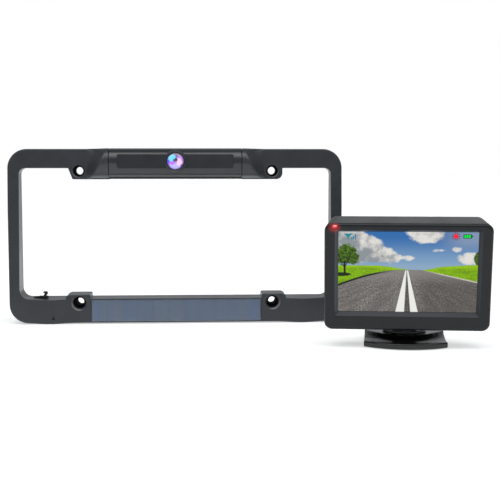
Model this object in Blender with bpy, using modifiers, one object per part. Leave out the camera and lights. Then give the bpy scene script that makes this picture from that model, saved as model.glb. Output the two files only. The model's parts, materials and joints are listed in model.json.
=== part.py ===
"""Backup camera kit: a number-plate frame with a tilting camera bar and a solar panel,
and a dash monitor on a swivelling, tilting adhesive stand.

Metres, +Z up, +X to the right of someone facing the kit, whose front looks along -Y.
The origin is on the floor, at the middle of the kit's bounding box.
"""

from math import cos, exp, pi, radians, sin, sqrt

import bmesh
import bpy
from mathutils import Matrix, Vector

GAP = 0.0003

# Where the two loose items stand.
FRAME_X = -0.0489
FRAME_BACK_Y = 0.0933
MONITOR_FROM_FRAME = Vector((0.1859, -0.1640, 0.0))
MONITOR_YAW = radians(-8.2)

# Plate frame. Its back is the plane y = 0 of its own frame, and its front leans back.
FRAME_HALF_WIDTH = 0.1537
FRAME_HALF_WIDTH_LOW = 0.1523
FRAME_TOP = 0.1604
FRAME_DEPTH_LOW = 0.0262
FRAME_DEPTH_TOP = 0.0143
FRAME_CORNER = 0.0175
FRAME_WALL = 0.0021
COVER_THICKNESS = 0.002
FOOT_X = 0.116
FOOT_SPREAD = 0.014
FOOT_DROP = 0.0011

WINDOW_HALF_WIDTH = 0.1433
WINDOW_LOW = 0.0232
WINDOW_TOP = 0.1428
WINDOW_CORNER_LOW = 0.0085
WINDOW_CORNER_TOP = 0.0055
TAB_HALF_WIDTH = 0.0985
TAB_LOW = 0.1326
TAB_CORNER = 0.0055
TAB_SLANT = 0.0040
BOSS_INNER = 0.079
BOSS_OUTER = 0.1012
BOSS_TOP = 0.027
BOSS_CHAMFER = 0.003

# The plate's four bolts: a pitch of 177.8 by 120.65 mm, 7 mm holes.
BOLT_X = 0.0889
BOLT_Z_LOW = 0.01965
BOLT_Z_TOP = 0.1403
BOLT_HOLE = 0.0035
SEAT_TOP = 0.0053
SEAT_LOW = 0.0056
SEAT_DEPTH_TOP = 0.0075
SEAT_DEPTH_LOW = 0.009

BOLT_COLUMN_HALF_WIDTH = 0.0085

# Far enough in front of the frame, and behind it, for a cutter to pass right through.
THROUGH_FRONT = -0.05
THROUGH_BACK = 0.01

# Screws that hold the back cover, as (x, z).
COVER_SCREWS = ((-0.118, 0.1487), (0.118, 0.1487), (-0.141, 0.012), (0.141, 0.012),
                (-0.0735, 0.012), (0.0735, 0.012))
SCREW_HEAD = 0.0024
SCREW_SHANK = 0.00125
SCREW_LENGTH = 0.0105
POST_RADIUS = 0.003
COVER_SCREW_SINK = 0.0015

# Solar panel, in the front of the bottom rail.
PANEL_HALF_WIDTH = 0.078
PANEL_LOW = 0.0021
PANEL_TOP = 0.0222
PANEL_RECESS = 0.0024

STATUS_LIGHT_X = -0.1125
STATUS_LIGHT_Z = 0.0052

# Camera bar.
BAR_Y = -0.016
BAR_Z = 0.1474
BAR_RADIUS = 0.0136
BAR_HALF_LENGTH = 0.0604
BAR_WALL = 0.003
BAR_REST_ANGLE = radians(-8)
FLAT_HALF_HEIGHT = 0.0065
FLAT_DISTANCE = sqrt(BAR_RADIUS ** 2 - FLAT_HALF_HEIGHT ** 2)
LENS_BOSS_RADIUS = 0.0092
LENS_RADIUS = 0.0075
PIVOT_RADIUS = 0.0039
CABLE_RADIUS = 0.0011
KNUCKLE_START = 0.0608
KNUCKLE_END = 0.076
BAR_SCREW_X = 0.045

# Charging port and its rubber plug, in the top of the bottom rail.
PORT_X = -0.1251
PORT_Y = -0.0115
PORT_HALF_WIDTH = 0.005
PORT_HALF_DEPTH = 0.003
PLUG_HINGE_X = -0.1321
PLUG_THICKNESS = 0.0011

# Monitor. Its own frame has the middle of the front face's bottom edge as origin.
MONITOR_HALF_WIDTH = 0.0655
MONITOR_HEIGHT = 0.0874
MONITOR_DEPTH = 0.029
MONITOR_CORNER = 0.0065
MONITOR_SIDE_TAPER = 0.0036
MONITOR_WALL = 0.0022
MONITOR_LIFT = 0.0149
MONITOR_LEAN = radians(9.2)
BEZEL_EDGE = 0.0032
BEZEL_DEPTH = 0.008
SCREEN_HALF_WIDTH = 0.0545
SCREEN_LOW = 0.0147
SCREEN_TOP = 0.0804
SCREEN_CHAMFER = 0.003
LCD_MARGIN = 0.0015
MONITOR_SCREW_X = 0.05
MONITOR_SCREW_Z = 0.0078
BUTTON_X = (-0.028, -0.039, -0.050)
BUTTON_Z = 0.070
BUTTON_RADIUS = 0.0028
BRACKET_SCREW_X = 0.0125
BRACKET_SCREW_Z = 0.028
GLAND_X = 0.042
GLAND_Z = 0.012

# Stand. The origin of its frame is on the floor, below the monitor's front edge.
HINGE = Vector((0.0, 0.038, 0.034))
HINGE_EYE = 0.006
HINGE_PIN = 0.0021
LUG_HALF_WIDTH = 0.005
WASHER_THICKNESS = 0.0008
EAR_INNER = 0.0064
EAR_OUTER = 0.0104
SWIVEL_Y = 0.032
DISC_RADIUS = 0.018
BASE_HALF_WIDTH = 0.0336
BASE_HALF_WIDTH_REAR = 0.0313
BASE_FRONT = -0.0055
BASE_CORNER_Y = 0.0070
BASE_REAR = 0.062
BASE_SAGITTA = BASE_CORNER_Y - BASE_FRONT
BASE_ARC = (BASE_HALF_WIDTH ** 2 + BASE_SAGITTA ** 2) / (2 * BASE_SAGITTA)
BASE_BOTTOM = 0.0005
BASE_LIP = 0.0046
BASE_HEIGHT = 0.010
BASE_WALL = 0.0022
BASE_SWEEP = 0.0135

# Colour, roughness and metallic value of each finish.
FINISHES = {
    "charcoal_plastic": ((0.045, 0.047, 0.052), 0.5, 0.0),
    "black_plastic": ((0.03, 0.032, 0.036), 0.45, 0.0),
    "satin_black": ((0.012, 0.012, 0.013), 0.28, 0.0),
    "black_rubber": ((0.012, 0.012, 0.012), 0.75, 0.0),
    "solar_blue": ((0.14, 0.19, 0.27), 0.3, 0.1),
    "clear_cover": ((0.5, 0.55, 0.6), 0.08, 0.0),
    "lens_glass": ((0.12, 0.1, 0.35), 0.04, 0.0),
    "screen": ((0.3, 0.45, 0.6), 0.2, 0.0),
    "circuit_board": ((0.02, 0.12, 0.05), 0.5, 0.0),
    "steel": ((0.55, 0.55, 0.56), 0.3, 1.0),
    "battery_wrap": ((0.05, 0.13, 0.3), 0.4, 0.0),
    "red_light": ((0.7, 0.02, 0.02), 0.2, 0.0),
    "grey_foam": ((0.3, 0.3, 0.31), 0.9, 0.0),
}


def clear_scene():
    for obj in list(bpy.data.objects):
        bpy.data.objects.remove(obj, do_unlink=True)
    for old in list(bpy.data.collections):
        bpy.data.collections.remove(old)


def new_collection(name):
    made = bpy.data.collections.new(name)
    bpy.context.scene.collection.children.link(made)
    return made


clear_scene()
PARTS = new_collection("backup_camera_kit")
CUTTERS = new_collection("cutters")


# ---------------------------------------------------------------- tools

def mesh_object(name, mesh):
    """A new object, kept with the cutters until finish() makes it a part."""
    obj = bpy.data.objects.new(name, mesh)
    CUTTERS.objects.link(obj)
    obj.hide_render = True
    obj.display_type = "WIRE"
    return obj


def settle(obj, parent, offset):
    """Put a shape, and every shape that cuts or joins it, under one parent."""
    obj.parent = parent
    obj.location = Vector(obj.location) + Vector(offset)
    for modifier in obj.modifiers:
        if modifier.type == "BOOLEAN":
            settle(modifier.object, parent, offset)


def finish(obj, kind, parent=None, offset=(0.0, 0.0, 0.0), smooth=False):
    """Turn a shape into a part with its own material, under its parent."""
    settle(obj, parent, offset)
    CUTTERS.objects.unlink(obj)
    PARTS.objects.link(obj)
    obj.hide_render = False
    obj.display_type = "TEXTURED"
    colour, roughness, metallic = FINISHES[kind]
    material = bpy.data.materials.new(obj.name + "_finish")
    material.use_nodes = True
    shader = material.node_tree.nodes["Principled BSDF"]
    shader.inputs["Base Color"].default_value = (*colour, 1.0)
    shader.inputs["Roughness"].default_value = roughness
    shader.inputs["Metallic"].default_value = metallic
    obj.data.materials.clear()
    obj.data.materials.append(material)
    if smooth:
        obj.data.shade_smooth()
        obj.data.set_sharp_from_angle(angle=radians(35))
    return obj


def empty(name, location, rotation=(0.0, 0.0, 0.0), parent=None):
    obj = bpy.data.objects.new(name, None)
    PARTS.objects.link(obj)
    obj.empty_display_size = 0.01
    obj.location = location
    obj.rotation_euler = rotation
    obj.parent = parent
    return obj


def boolean(obj, other, operation):
    modifier = obj.modifiers.new(operation.lower(), "BOOLEAN")
    modifier.operation = operation
    modifier.solver = "EXACT"
    modifier.object = other


def cut(obj, *others):
    for other in others:
        boolean(obj, other, "DIFFERENCE")


def join(obj, *others):
    for other in others:
        boolean(obj, other, "UNION")


def shaped_box(name, corner):
    """A cube whose corners go where corner(i, j, k) says, with each index 0 or 1."""
    mesh = bpy.data.meshes.new(name)
    bm = bmesh.new()
    bmesh.ops.create_cube(bm, size=2.0)
    for vert in bm.verts:
        i, j, k = (int(value > 0) for value in vert.co)
        vert.co = corner(i, j, k)
    bm.to_mesh(mesh)
    bm.free()
    return mesh_object(name, mesh)


def box(name, low, high):
    pairs = list(zip(low, high))
    return shaped_box(name, lambda i, j, k: (pairs[0][i], pairs[1][j], pairs[2][k]))


def frame_depth(z):
    """Depth of the plate frame at a height."""
    return FRAME_DEPTH_LOW + (FRAME_DEPTH_TOP - FRAME_DEPTH_LOW) * z / FRAME_TOP


def front_box(name, x, z, depths):
    """A box between two depths behind the frame's leaning front face."""
    return shaped_box(name, lambda i, j, k: (x[i], depths[j] - frame_depth(z[k]), z[k]))


def rod(name, start, end, radius, sides=20):
    """A cylinder from start to end."""
    start, end = Vector(start), Vector(end)
    along = end - start
    mesh = bpy.data.meshes.new(name)
    bm = bmesh.new()
    turn = along.to_track_quat("Z", "Y").to_matrix().to_4x4()
    place = Matrix.Translation((start + end) / 2) @ turn
    bmesh.ops.create_cone(bm, cap_ends=True, segments=sides, radius1=radius,
                          radius2=radius, depth=along.length, matrix=place)
    bm.to_mesh(mesh)
    bm.free()
    return mesh_object(name, mesh)


def turned(name, profile, location, axis="Z", sides=24):
    """A turned shape. profile lists (radius, height) down its outer side.

    A profile that ends where it starts makes a ring.
    """
    mesh = bpy.data.meshes.new(name)
    edges = [(i, i + 1) for i in range(len(profile) - 1)]
    if profile[0] == profile[-1]:
        profile = profile[:-1]
        edges[-1] = (len(profile) - 1, 0)
    mesh.from_pydata([(r, 0.0, h) for r, h in profile], edges, [])
    obj = mesh_object(name, mesh)
    screw = obj.modifiers.new("turn", "SCREW")
    screw.steps = sides
    screw.render_steps = sides
    screw.use_merge_vertices = True
    screw.merge_threshold = 0.00002
    obj.location = location
    obj.rotation_euler = {"Z": (0, 0, 0), "X": (0, pi / 2, 0), "-X": (0, -pi / 2, 0),
                          "Y": (-pi / 2, 0, 0), "-Y": (pi / 2, 0, 0)}[axis]
    return obj


def rounded(corners, steps=5):
    """An outline through corners (x, y, radius), with an arc at each round one."""
    points = []
    count = len(corners)
    for i, (x, y, radius) in enumerate(corners):
        here = Vector((x, y))
        if not radius:
            points.append(here)
            continue
        before = (Vector(corners[i - 1][:2]) - here).normalized()
        after = (Vector(corners[(i + 1) % count][:2]) - here).normalized()
        half = before.angle(after) / 2
        reach = radius / sin(half) * cos(half)
        centre = here + (before + after).normalized() * radius / sin(half)
        first = here + before * reach - centre
        last = here + after * reach - centre
        sweep = first.angle_signed(last)
        for step in range(steps + 1):
            turn = -sweep * step / steps
            points.append(centre + Matrix.Rotation(turn, 2) @ first)
    return points


def rectangle(half_width, low, high, radius):
    return rounded([(-half_width, low, radius), (half_width, low, radius),
                    (half_width, high, radius), (-half_width, high, radius)])


AXIS_TURNS = {
    "Z": Matrix.Identity(4),
    "Y": Matrix(((1, 0, 0, 0), (0, 0, -1, 0), (0, 1, 0, 0), (0, 0, 0, 1))),
    "X": Matrix(((0, 0, 1, 0), (1, 0, 0, 0), (0, 1, 0, 0), (0, 0, 0, 1))),
}


def plate(name, outline, low, high, axis="Y"):
    """A flat outline extruded from low to high along an axis.

    The outline is in XZ for axis Y, in YZ for axis X, and in XY for axis Z.
    """
    curve = bpy.data.curves.new(name, "CURVE")
    curve.dimensions = "2D"
    curve.fill_mode = "BOTH"
    curve.extrude = (high - low) / 2
    spline = curve.splines.new("POLY")
    spline.points.add(len(outline) - 1)
    for point, place in zip(spline.points, outline):
        point.co = (place[0], place[1], 0.0, 1.0)
    spline.use_cyclic_u = True
    flat = bpy.data.objects.new(name + "_outline", curve)
    CUTTERS.objects.link(flat)
    bpy.context.view_layer.update()
    seen = flat.evaluated_get(bpy.context.evaluated_depsgraph_get())
    mesh = bpy.data.meshes.new_from_object(seen)
    bpy.data.objects.remove(flat, do_unlink=True)
    mesh.name = name
    shift = Vector((0.0, 0.0, 0.0))
    shift["XYZ".index(axis)] = (low + high) / 2
    bm = bmesh.new()
    bm.from_mesh(mesh)
    bmesh.ops.remove_doubles(bm, verts=bm.verts, dist=0.000002)
    bmesh.ops.transform(bm, matrix=Matrix.Translation(shift) @ AXIS_TURNS[axis],
                        verts=bm.verts)
    bmesh.ops.recalc_face_normals(bm, faces=bm.faces)
    bmesh.ops.dissolve_limit(bm, angle_limit=radians(0.05), verts=bm.verts,
                             edges=bm.edges)
    bm.to_mesh(mesh)
    bm.free()
    return mesh_object(name, mesh)


def tube(name, route, radius, steps=2):
    """A round cord on a smooth curve through the points of route, as a mesh."""
    curve = bpy.data.curves.new(name, "CURVE")
    curve.dimensions = "3D"
    curve.bevel_depth = radius
    curve.bevel_resolution = 2
    curve.use_fill_caps = True
    points = smooth_route([Vector(place) for place in route], steps)
    spline = curve.splines.new("POLY")
    spline.points.add(len(points) - 1)
    for point, place in zip(spline.points, points):
        point.co = (*place, 1.0)
    cord = bpy.data.objects.new(name + "_route", curve)
    CUTTERS.objects.link(cord)
    bpy.context.view_layer.update()
    seen = cord.evaluated_get(bpy.context.evaluated_depsgraph_get())
    mesh = bpy.data.meshes.new_from_object(seen)
    bpy.data.objects.remove(cord, do_unlink=True)
    mesh.name = name
    bm = bmesh.new()
    bm.from_mesh(mesh)
    bmesh.ops.remove_doubles(bm, verts=bm.verts, dist=0.000002)
    bmesh.ops.recalc_face_normals(bm, faces=bm.faces)
    bm.to_mesh(mesh)
    bm.free()
    return mesh_object(name, mesh)


def smooth_route(places, steps):
    """Points of a Catmull-Rom curve through the places."""
    ends = [places[0] * 2 - places[1], *places, places[-1] * 2 - places[-2]]
    points = []
    for a, b, c, d in zip(ends, ends[1:], ends[2:], ends[3:]):
        for step in range(steps):
            t = step / steps
            points.append((b * 2 + (c - a) * t + (a * 2 - b * 5 + c * 4 - d) * t ** 2
                           + (b * 3 - a - c * 3 + d) * t ** 3) / 2)
    return points + [places[-1]]


def screw(name, seat, axis, head, shank, length, parent):
    """A pan-head screw. seat is where its head ends, and axis points to the head."""
    height = head * 0.55
    profile = [(0.0, height), (head * 0.75, height), (head, height * 0.4), (head, 0.0),
               (shank, 0.0), (shank, -length + shank), (0.0, -length)]
    return finish(turned(name, profile, seat, axis, 12), "steel", parent, smooth=True)


# ---------------------------------------------------------------- plate frame

FRAME = empty("plate_frame", (FRAME_X, FRAME_BACK_Y, 0.0))


def frame_outline():
    """The frame's outer outline, with the two shallow feet under its bottom rail."""
    radius = FRAME_CORNER
    corners = []
    for i in range(-20, 21):
        x = (FRAME_HALF_WIDTH_LOW - radius * 1.1) * i / 20
        foot = exp(-((abs(x) - FOOT_X) / FOOT_SPREAD) ** 2)
        if abs(i) == 20 or foot > 0.02 or i == 0:
            corners.append((x, FOOT_DROP * (1 - foot), 0.0))
    corners += [(FRAME_HALF_WIDTH_LOW, FOOT_DROP, radius),
                (FRAME_HALF_WIDTH, FRAME_TOP * 0.65, 0.0),
                (FRAME_HALF_WIDTH, FRAME_TOP, radius),
                (-FRAME_HALF_WIDTH, FRAME_TOP, radius),
                (-FRAME_HALF_WIDTH, FRAME_TOP * 0.65, 0.0),
                (-FRAME_HALF_WIDTH_LOW, FOOT_DROP, radius)]
    return rounded(corners)


def window_outline():
    """The opening over the plate, with the bolt bosses that stand into it."""
    low = [(-WINDOW_HALF_WIDTH, WINDOW_LOW, WINDOW_CORNER_LOW),
           (-BOSS_OUTER, WINDOW_LOW, 0.0),
           (-BOSS_OUTER, BOSS_TOP - BOSS_CHAMFER / 2, 0.0),
           (-BOSS_OUTER + BOSS_CHAMFER, BOSS_TOP, 0.0),
           (-BOSS_INNER, BOSS_TOP, 0.0006),
           (-BOSS_INNER, WINDOW_LOW, 0.0)]
    top = [(-TAB_HALF_WIDTH + TAB_SLANT, TAB_LOW, TAB_CORNER / 4),
           (-TAB_HALF_WIDTH, WINDOW_TOP, 0.0),
           (-WINDOW_HALF_WIDTH, WINDOW_TOP, WINDOW_CORNER_TOP)]
    low_right = [(-x, z, radius) for x, z, radius in reversed(low)]
    top_right = [(WINDOW_HALF_WIDTH, WINDOW_TOP, WINDOW_CORNER_TOP),
                 (TAB_HALF_WIDTH, WINDOW_TOP, 0.0),
                 (TAB_HALF_WIDTH, TAB_LOW, TAB_CORNER)]
    return rounded(low + low_right + top_right + top)


def lean_front(obj, wall=0.0):
    """Move the frontmost points of a plate on to the frame's leaning front."""
    for vert in obj.data.vertices:
        if vert.co.y < -FRAME_DEPTH_LOW + 0.0001:
            vert.co.y = wall - frame_depth(vert.co.z)


def frame_hollow():
    """The space inside the front shell, less its bolt columns and screw posts."""
    wall = FRAME_WALL
    outer = rounded([(-FRAME_HALF_WIDTH_LOW + wall, FOOT_DROP + wall, FRAME_CORNER - wall),
                     (FRAME_HALF_WIDTH_LOW - wall, FOOT_DROP + wall, FRAME_CORNER - wall),
                     (FRAME_HALF_WIDTH - wall, FRAME_TOP - wall, FRAME_CORNER - wall),
                     (-FRAME_HALF_WIDTH + wall, FRAME_TOP - wall, FRAME_CORNER - wall)])
    inner = rectangle(WINDOW_HALF_WIDTH + wall, WINDOW_LOW - wall, WINDOW_TOP + wall, 0.006)
    hollow = plate("frame_hollow", outer, -FRAME_DEPTH_LOW, 0.001)
    lean_front(hollow, wall)
    cut(hollow, plate("frame_hollow_inside", inner, THROUGH_FRONT, -THROUGH_FRONT))
    middle = box("frame_middle_block", (-KNUCKLE_END, THROUGH_FRONT, 0.12),
                 (KNUCKLE_END, THROUGH_BACK, 0.17))
    behind_panel = front_box("panel_wall_block", (-0.0805, 0.0805), (0.0, 0.03),
                             (-0.001, PANEL_RECESS + 0.0016))
    cut(hollow, middle, behind_panel)
    for side in (-1, 1):
        start = side * BOLT_X - BOLT_COLUMN_HALF_WIDTH
        end = side * BOLT_X + BOLT_COLUMN_HALF_WIDTH
        column = box(f"bolt_column_low_{side}", (start, THROUGH_FRONT, 0.0125),
                     (end, THROUGH_BACK, 0.03))
        tab = box(f"bolt_column_top_{side}", (start, THROUGH_FRONT, 0.13),
                  (end, THROUGH_BACK, 0.1472))
        cut(hollow, column, tab)
    for i, (x, z) in enumerate(COVER_SCREWS):
        cut(hollow, rod(f"cover_post_{i}", (x, THROUGH_FRONT, z), (x, THROUGH_BACK, z),
                        POST_RADIUS, 10))
        at_top = z > FRAME_TOP / 2
        if at_top or abs(x) > BOSS_OUTER:
            low = z - 0.006 if at_top else 0.0
            cut(hollow, box(f"cover_post_rib_{i}", (x - 0.0008, THROUGH_FRONT, low),
                            (x + 0.0008, 0.01, z)))
    return hollow


def knuckle(side):
    """The round end of the top rail that carries one end of the camera bar."""
    length = KNUCKLE_END - KNUCKLE_START
    inside = -0.001
    profile = [(0.0, length)]
    for i in range(6):
        turn = pi / 2 * i / 5
        profile.append((BAR_RADIUS * (0.45 + 0.55 * sin(turn)),
                        length * (0.45 + 0.55 * cos(turn))))
    profile += [(BAR_RADIUS, inside), (0.0, inside)]
    start = (side * KNUCKLE_START, BAR_Y, BAR_Z)
    name = "knuckle_right" if side > 0 else "knuckle_left"
    return turned(name, profile, start, "X" if side > 0 else "-X", 32)


def frame_front_shell():
    shell = plate("frame_front_shell", frame_outline(), -FRAME_DEPTH_LOW,
                  -COVER_THICKNESS - GAP)
    lean_front(shell)
    cut(shell, plate("shell_window", window_outline(), THROUGH_FRONT, -THROUGH_FRONT))
    pocket = box("bar_pocket", (-KNUCKLE_START, THROUGH_FRONT, 0.12),
                 (KNUCKLE_START, THROUGH_BACK, 0.17))
    cut(shell, frame_hollow())
    join(shell, knuckle(-1), knuckle(1))
    cut(shell, pocket)
    for side in (-1, 1):
        near, far = side * (KNUCKLE_START - 0.001), side * (KNUCKLE_END - 0.004)
        bore = rod(f"pivot_bore_{side}", (near, BAR_Y, BAR_Z), (far, BAR_Y, BAR_Z),
                   PIVOT_RADIUS + GAP, 16)
        seat = rod(f"oring_seat_{side}", (near, BAR_Y, BAR_Z),
                   (side * (KNUCKLE_START + 0.0024), BAR_Y, BAR_Z), 0.0064, 16)
        reach = sorted((side * 0.0665, side * (KNUCKLE_END + 0.001)))
        way = box(f"cable_way_{side}", (reach[0], -0.0140, BAR_Z - 0.0005),
                  (reach[1], -0.0045, BAR_Z + 0.0055))
        cut(shell, bore, seat, way)
    recess = front_box("panel_recess", (-PANEL_HALF_WIDTH - GAP, PANEL_HALF_WIDTH + GAP),
                       (PANEL_LOW - GAP, PANEL_TOP + GAP), (-0.003, PANEL_RECESS))
    cut(shell, recess)
    for side in (-1, 1):
        for z, seat, depth in ((BOLT_Z_LOW, SEAT_LOW, SEAT_DEPTH_LOW),
                               (BOLT_Z_TOP, SEAT_TOP, SEAT_DEPTH_TOP)):
            x = side * BOLT_X
            place = f"{side}_{'low' if z < 0.1 else 'top'}"
            hole = rod("bolt_hole_" + place, (x, THROUGH_FRONT, z), (x, THROUGH_BACK, z), BOLT_HOLE)
            counterbore = rod("bolt_seat_" + place, (x, THROUGH_FRONT, z),
                              (x, depth - frame_depth(z), z), seat)
            cut(shell, hole, counterbore)
    for i, (x, z) in enumerate(COVER_SCREWS):
        pilot = rod(f"cover_pilot_{i}", (x, -SCREW_LENGTH - 0.0005, z), (x, THROUGH_BACK, z),
                    SCREW_SHANK + GAP, 8)
        cut(shell, pilot)
    port = box("port_mouth", (PORT_X - PORT_HALF_WIDTH, PORT_Y - PORT_HALF_DEPTH, 0.018),
               (PORT_X + PORT_HALF_WIDTH, PORT_Y + PORT_HALF_DEPTH, 0.03))
    led = rod("led_hole", (STATUS_LIGHT_X, -0.03, STATUS_LIGHT_Z),
              (STATUS_LIGHT_X, -0.015, STATUS_LIGHT_Z), 0.0012, 12)
    cut(shell, port, led)
    return finish(shell, "charcoal_plastic", FRAME)


def frame_back_cover():
    cover = plate("frame_back_cover", frame_outline(), -COVER_THICKNESS, 0.0)
    cut(cover, plate("cover_window", window_outline(), THROUGH_FRONT, -THROUGH_FRONT))
    for side in (-1, 1):
        for z in (BOLT_Z_LOW, BOLT_Z_TOP):
            x = side * BOLT_X
            place = f"{side}_{'low' if z < 0.1 else 'top'}"
            cut(cover, rod("cover_bolt_hole_" + place, (x, THROUGH_FRONT, z),
                           (x, THROUGH_BACK, z), BOLT_HOLE))
    for i, (x, z) in enumerate(COVER_SCREWS):
        shank = rod(f"cover_screw_hole_{i}", (x, -0.01, z), (x, THROUGH_BACK, z),
                    SCREW_SHANK + GAP, 8)
        head = rod(f"cover_screw_seat_{i}", (x, -COVER_SCREW_SINK, z), (x, THROUGH_BACK, z),
                   SCREW_HEAD + GAP, 12)
        cut(cover, shank, head)
    return finish(cover, "charcoal_plastic", FRAME)


def frame_screws():
    for i, (x, z) in enumerate(COVER_SCREWS):
        screw(f"frame_screw_{i + 1}", (x, GAP - COVER_SCREW_SINK, z), "Y", SCREW_HEAD,
              SCREW_SHANK, SCREW_LENGTH - 0.002, FRAME)


def solar_panel():
    wide = (-PANEL_HALF_WIDTH, PANEL_HALF_WIDTH)
    high = (PANEL_LOW, PANEL_TOP)
    cells = front_box("solar_cells", wide, high, (0.0011, PANEL_RECESS - GAP))
    finish(cells, "solar_blue", FRAME)
    finish(front_box("solar_cover", wide, high, (0.0, 0.0008)), "clear_cover", FRAME)


def frame_insides():
    """Batteries, transmitter board, charging port, aerial, light and camera cable."""
    cell_z = 0.0116
    for name, side in (("battery_cell_left", -1), ("battery_cell_right", 1)):
        profile = [(0.0, 0.033), (0.0028, 0.033), (0.0028, 0.032), (0.0081, 0.032),
                   (0.0081, -0.0325), (0.0, -0.0325)]
        cell = turned(name, profile, (side * 0.0337, -0.0119, cell_z), "X", 20)
        finish(cell, "battery_wrap", FRAME, smooth=True)
    board = box("transmitter_board", (-0.1365, -0.0065, 0.0045), (-0.1015, -0.0050, 0.0195))
    join(board,
         box("radio_can", (-0.1355, -0.0090, 0.0060), (-0.1275, -0.0064, 0.0100)),
         box("power_chip", (-0.1095, -0.0080, 0.0100), (-0.1045, -0.0064, 0.0150)))
    finish(board, "circuit_board", FRAME)
    port = box("usb_port", (PORT_X - 0.0044, PORT_Y - 0.0018, 0.0112),
               (PORT_X + 0.0044, PORT_Y + 0.0018, 0.0186))
    mouth = box("usb_mouth", (PORT_X - 0.0038, PORT_Y - 0.0012, 0.0140),
                (PORT_X + 0.0038, PORT_Y + 0.0012, 0.0200))
    cut(port, mouth)
    finish(port, "steel", FRAME)
    led = turned("status_led", [(0.0, 0.0035), (0.0006, 0.0032), (0.0009, 0.0024),
                                (0.0009, 0.0), (0.0016, 0.0), (0.0016, -0.0012),
                                (0.0, -0.0012)],
                 (STATUS_LIGHT_X, -0.0222, STATUS_LIGHT_Z), "-Y", 14)
    finish(led, "red_light", FRAME, smooth=True)
    strip = box("antenna_strip", (0.1466, -0.0062, 0.040), (0.1498, -0.0052, 0.120))
    finish(strip, "circuit_board", FRAME)
    route = [(-0.0525, BAR_Y, BAR_Z), (-0.058, BAR_Y, BAR_Z), (-0.0625, BAR_Y, BAR_Z),
             (-0.0665, -0.0158, 0.1475), (-0.0705, -0.0132, 0.1492),
             (-0.075, -0.0098, 0.1506), (-0.083, -0.0076, 0.1530),
             (-0.100, -0.0070, 0.1550), (-0.118, -0.0070, 0.1552), (-0.134, -0.0070, 0.1546),
             (-0.1441, -0.0070, 0.1509), (-0.1483, -0.0070, 0.1424), (-0.1485, -0.0070, 0.1200),
             (-0.1485, -0.0070, 0.0800), (-0.1483, -0.0070, 0.0420), (-0.1472, -0.0070, 0.0280),
             (-0.1443, -0.0066, 0.0205), (-0.1375, -0.0058, 0.0178)]
    finish(tube("camera_cable", route, CABLE_RADIUS), "black_rubber", FRAME)
    lead = [(-0.1005, -0.0075, 0.0085), (-0.0940, -0.0085, 0.0072), (-0.0840, -0.0095, 0.0062),
            (-0.0745, -0.0105, 0.0060), (-0.0678, -0.0112, 0.0075)]
    finish(tube("power_lead", lead, 0.0009), "black_rubber", FRAME)


def port_plug():
    """The rubber plug over the charging port, with a hooked pull tab."""
    hinge = empty("port_plug_hinge", (PLUG_HINGE_X, PORT_Y, WINDOW_LOW + GAP), parent=FRAME)
    reach = 0.0135
    thick = PLUG_THICKNESS
    outline = [(0.0, 0.0), (reach, 0.0), (reach, thick)]
    outline += [(0.0105, thick), (0.0125, 0.0034), (0.0118, 0.0052), (0.0088, 0.0052),
                (0.0088, 0.0040), (0.0105, 0.0040), (0.0088, thick), (0.0, thick)]
    plug = plate("port_plug", outline, -0.0032, 0.0032)
    start = PORT_X - PLUG_HINGE_X - 0.0042
    stem = box("plug_stem", (start, -0.0024, -0.0020), (start + 0.0080, 0.0024, 0.0004))
    join(plug, stem)
    finish(plug, "black_rubber", hinge)


# ---------------------------------------------------------------- camera bar

BAR = empty("camera_bar_axis", (0.0, BAR_Y, BAR_Z), (BAR_REST_ANGLE, 0.0, 0.0), FRAME)


def bar_half(name, side):
    """One half of the bar's casing, split down its length. side -1 is the front."""
    half = BAR_HALF_LENGTH
    shell = rod(name, (-half, 0, 0), (half, 0, 0), BAR_RADIUS, 44)
    hollow = rod(name + "_hollow", (-half + 0.0024, 0, 0), (half - 0.0024, 0, 0),
                 BAR_RADIUS - BAR_WALL, 24)
    span = sorted((side * GAP / 2, -side * 0.02))
    other = box(name + "_other_half", (-0.07, span[0], -0.02), (0.07, span[1], 0.02))
    cut(shell, hollow, other)
    for end in (-1, 1):
        cut(shell, rod(f"{name}_pivot_{end}", (end * 0.05, 0, 0), (end * 0.07, 0, 0),
                       PIVOT_RADIUS + GAP, 16))
    return shell


def camera_bar():
    front = bar_half("bar_front_shell", -1)
    rear = bar_half("bar_rear_shell", 1)
    flat = box("bar_flat", (-0.0525, -0.02, -0.01), (0.0525, -FLAT_DISTANCE, 0.01))
    boss = rod("lens_boss", (0, -0.0142, 0), (0, -0.0105, 0), LENS_BOSS_RADIUS, 28)
    bore = rod("lens_bore", (0, -0.02, 0), (0, -0.005, 0), LENS_RADIUS + GAP, 28)
    cut(front, flat)
    join(front, boss)
    cut(front, bore)
    for end in (-1, 1):
        x = end * BAR_SCREW_X
        post = rod(f"bar_post_{end}", (x, -0.0112, 0), (x, -GAP / 2, 0), 0.0028, 12)
        pilot = rod(f"bar_pilot_{end}", (x, -0.0085, 0), (x, 0.01, 0), 0.0013, 8)
        join(front, post)
        cut(front, pilot)
        sleeve = rod(f"bar_sleeve_{end}", (x, GAP / 2, 0), (x, 0.0125, 0), 0.0036, 12)
        hole = rod(f"bar_hole_{end}", (x, -0.01, 0), (x, 0.02, 0), 0.0013, 8)
        seat = rod(f"bar_seat_{end}", (x, 0.0085, 0), (x, 0.02, 0), 0.0023, 12)
        join(rear, sleeve)
        cut(rear, hole, seat)
        screw(f"bar_screw_{'left' if end < 0 else 'right'}", (x, 0.0088, 0), "Y",
              0.002, 0.001, 0.014, BAR)
    finish(front, "charcoal_plastic", BAR, smooth=True)
    finish(rear, "charcoal_plastic", BAR, smooth=True)


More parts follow.
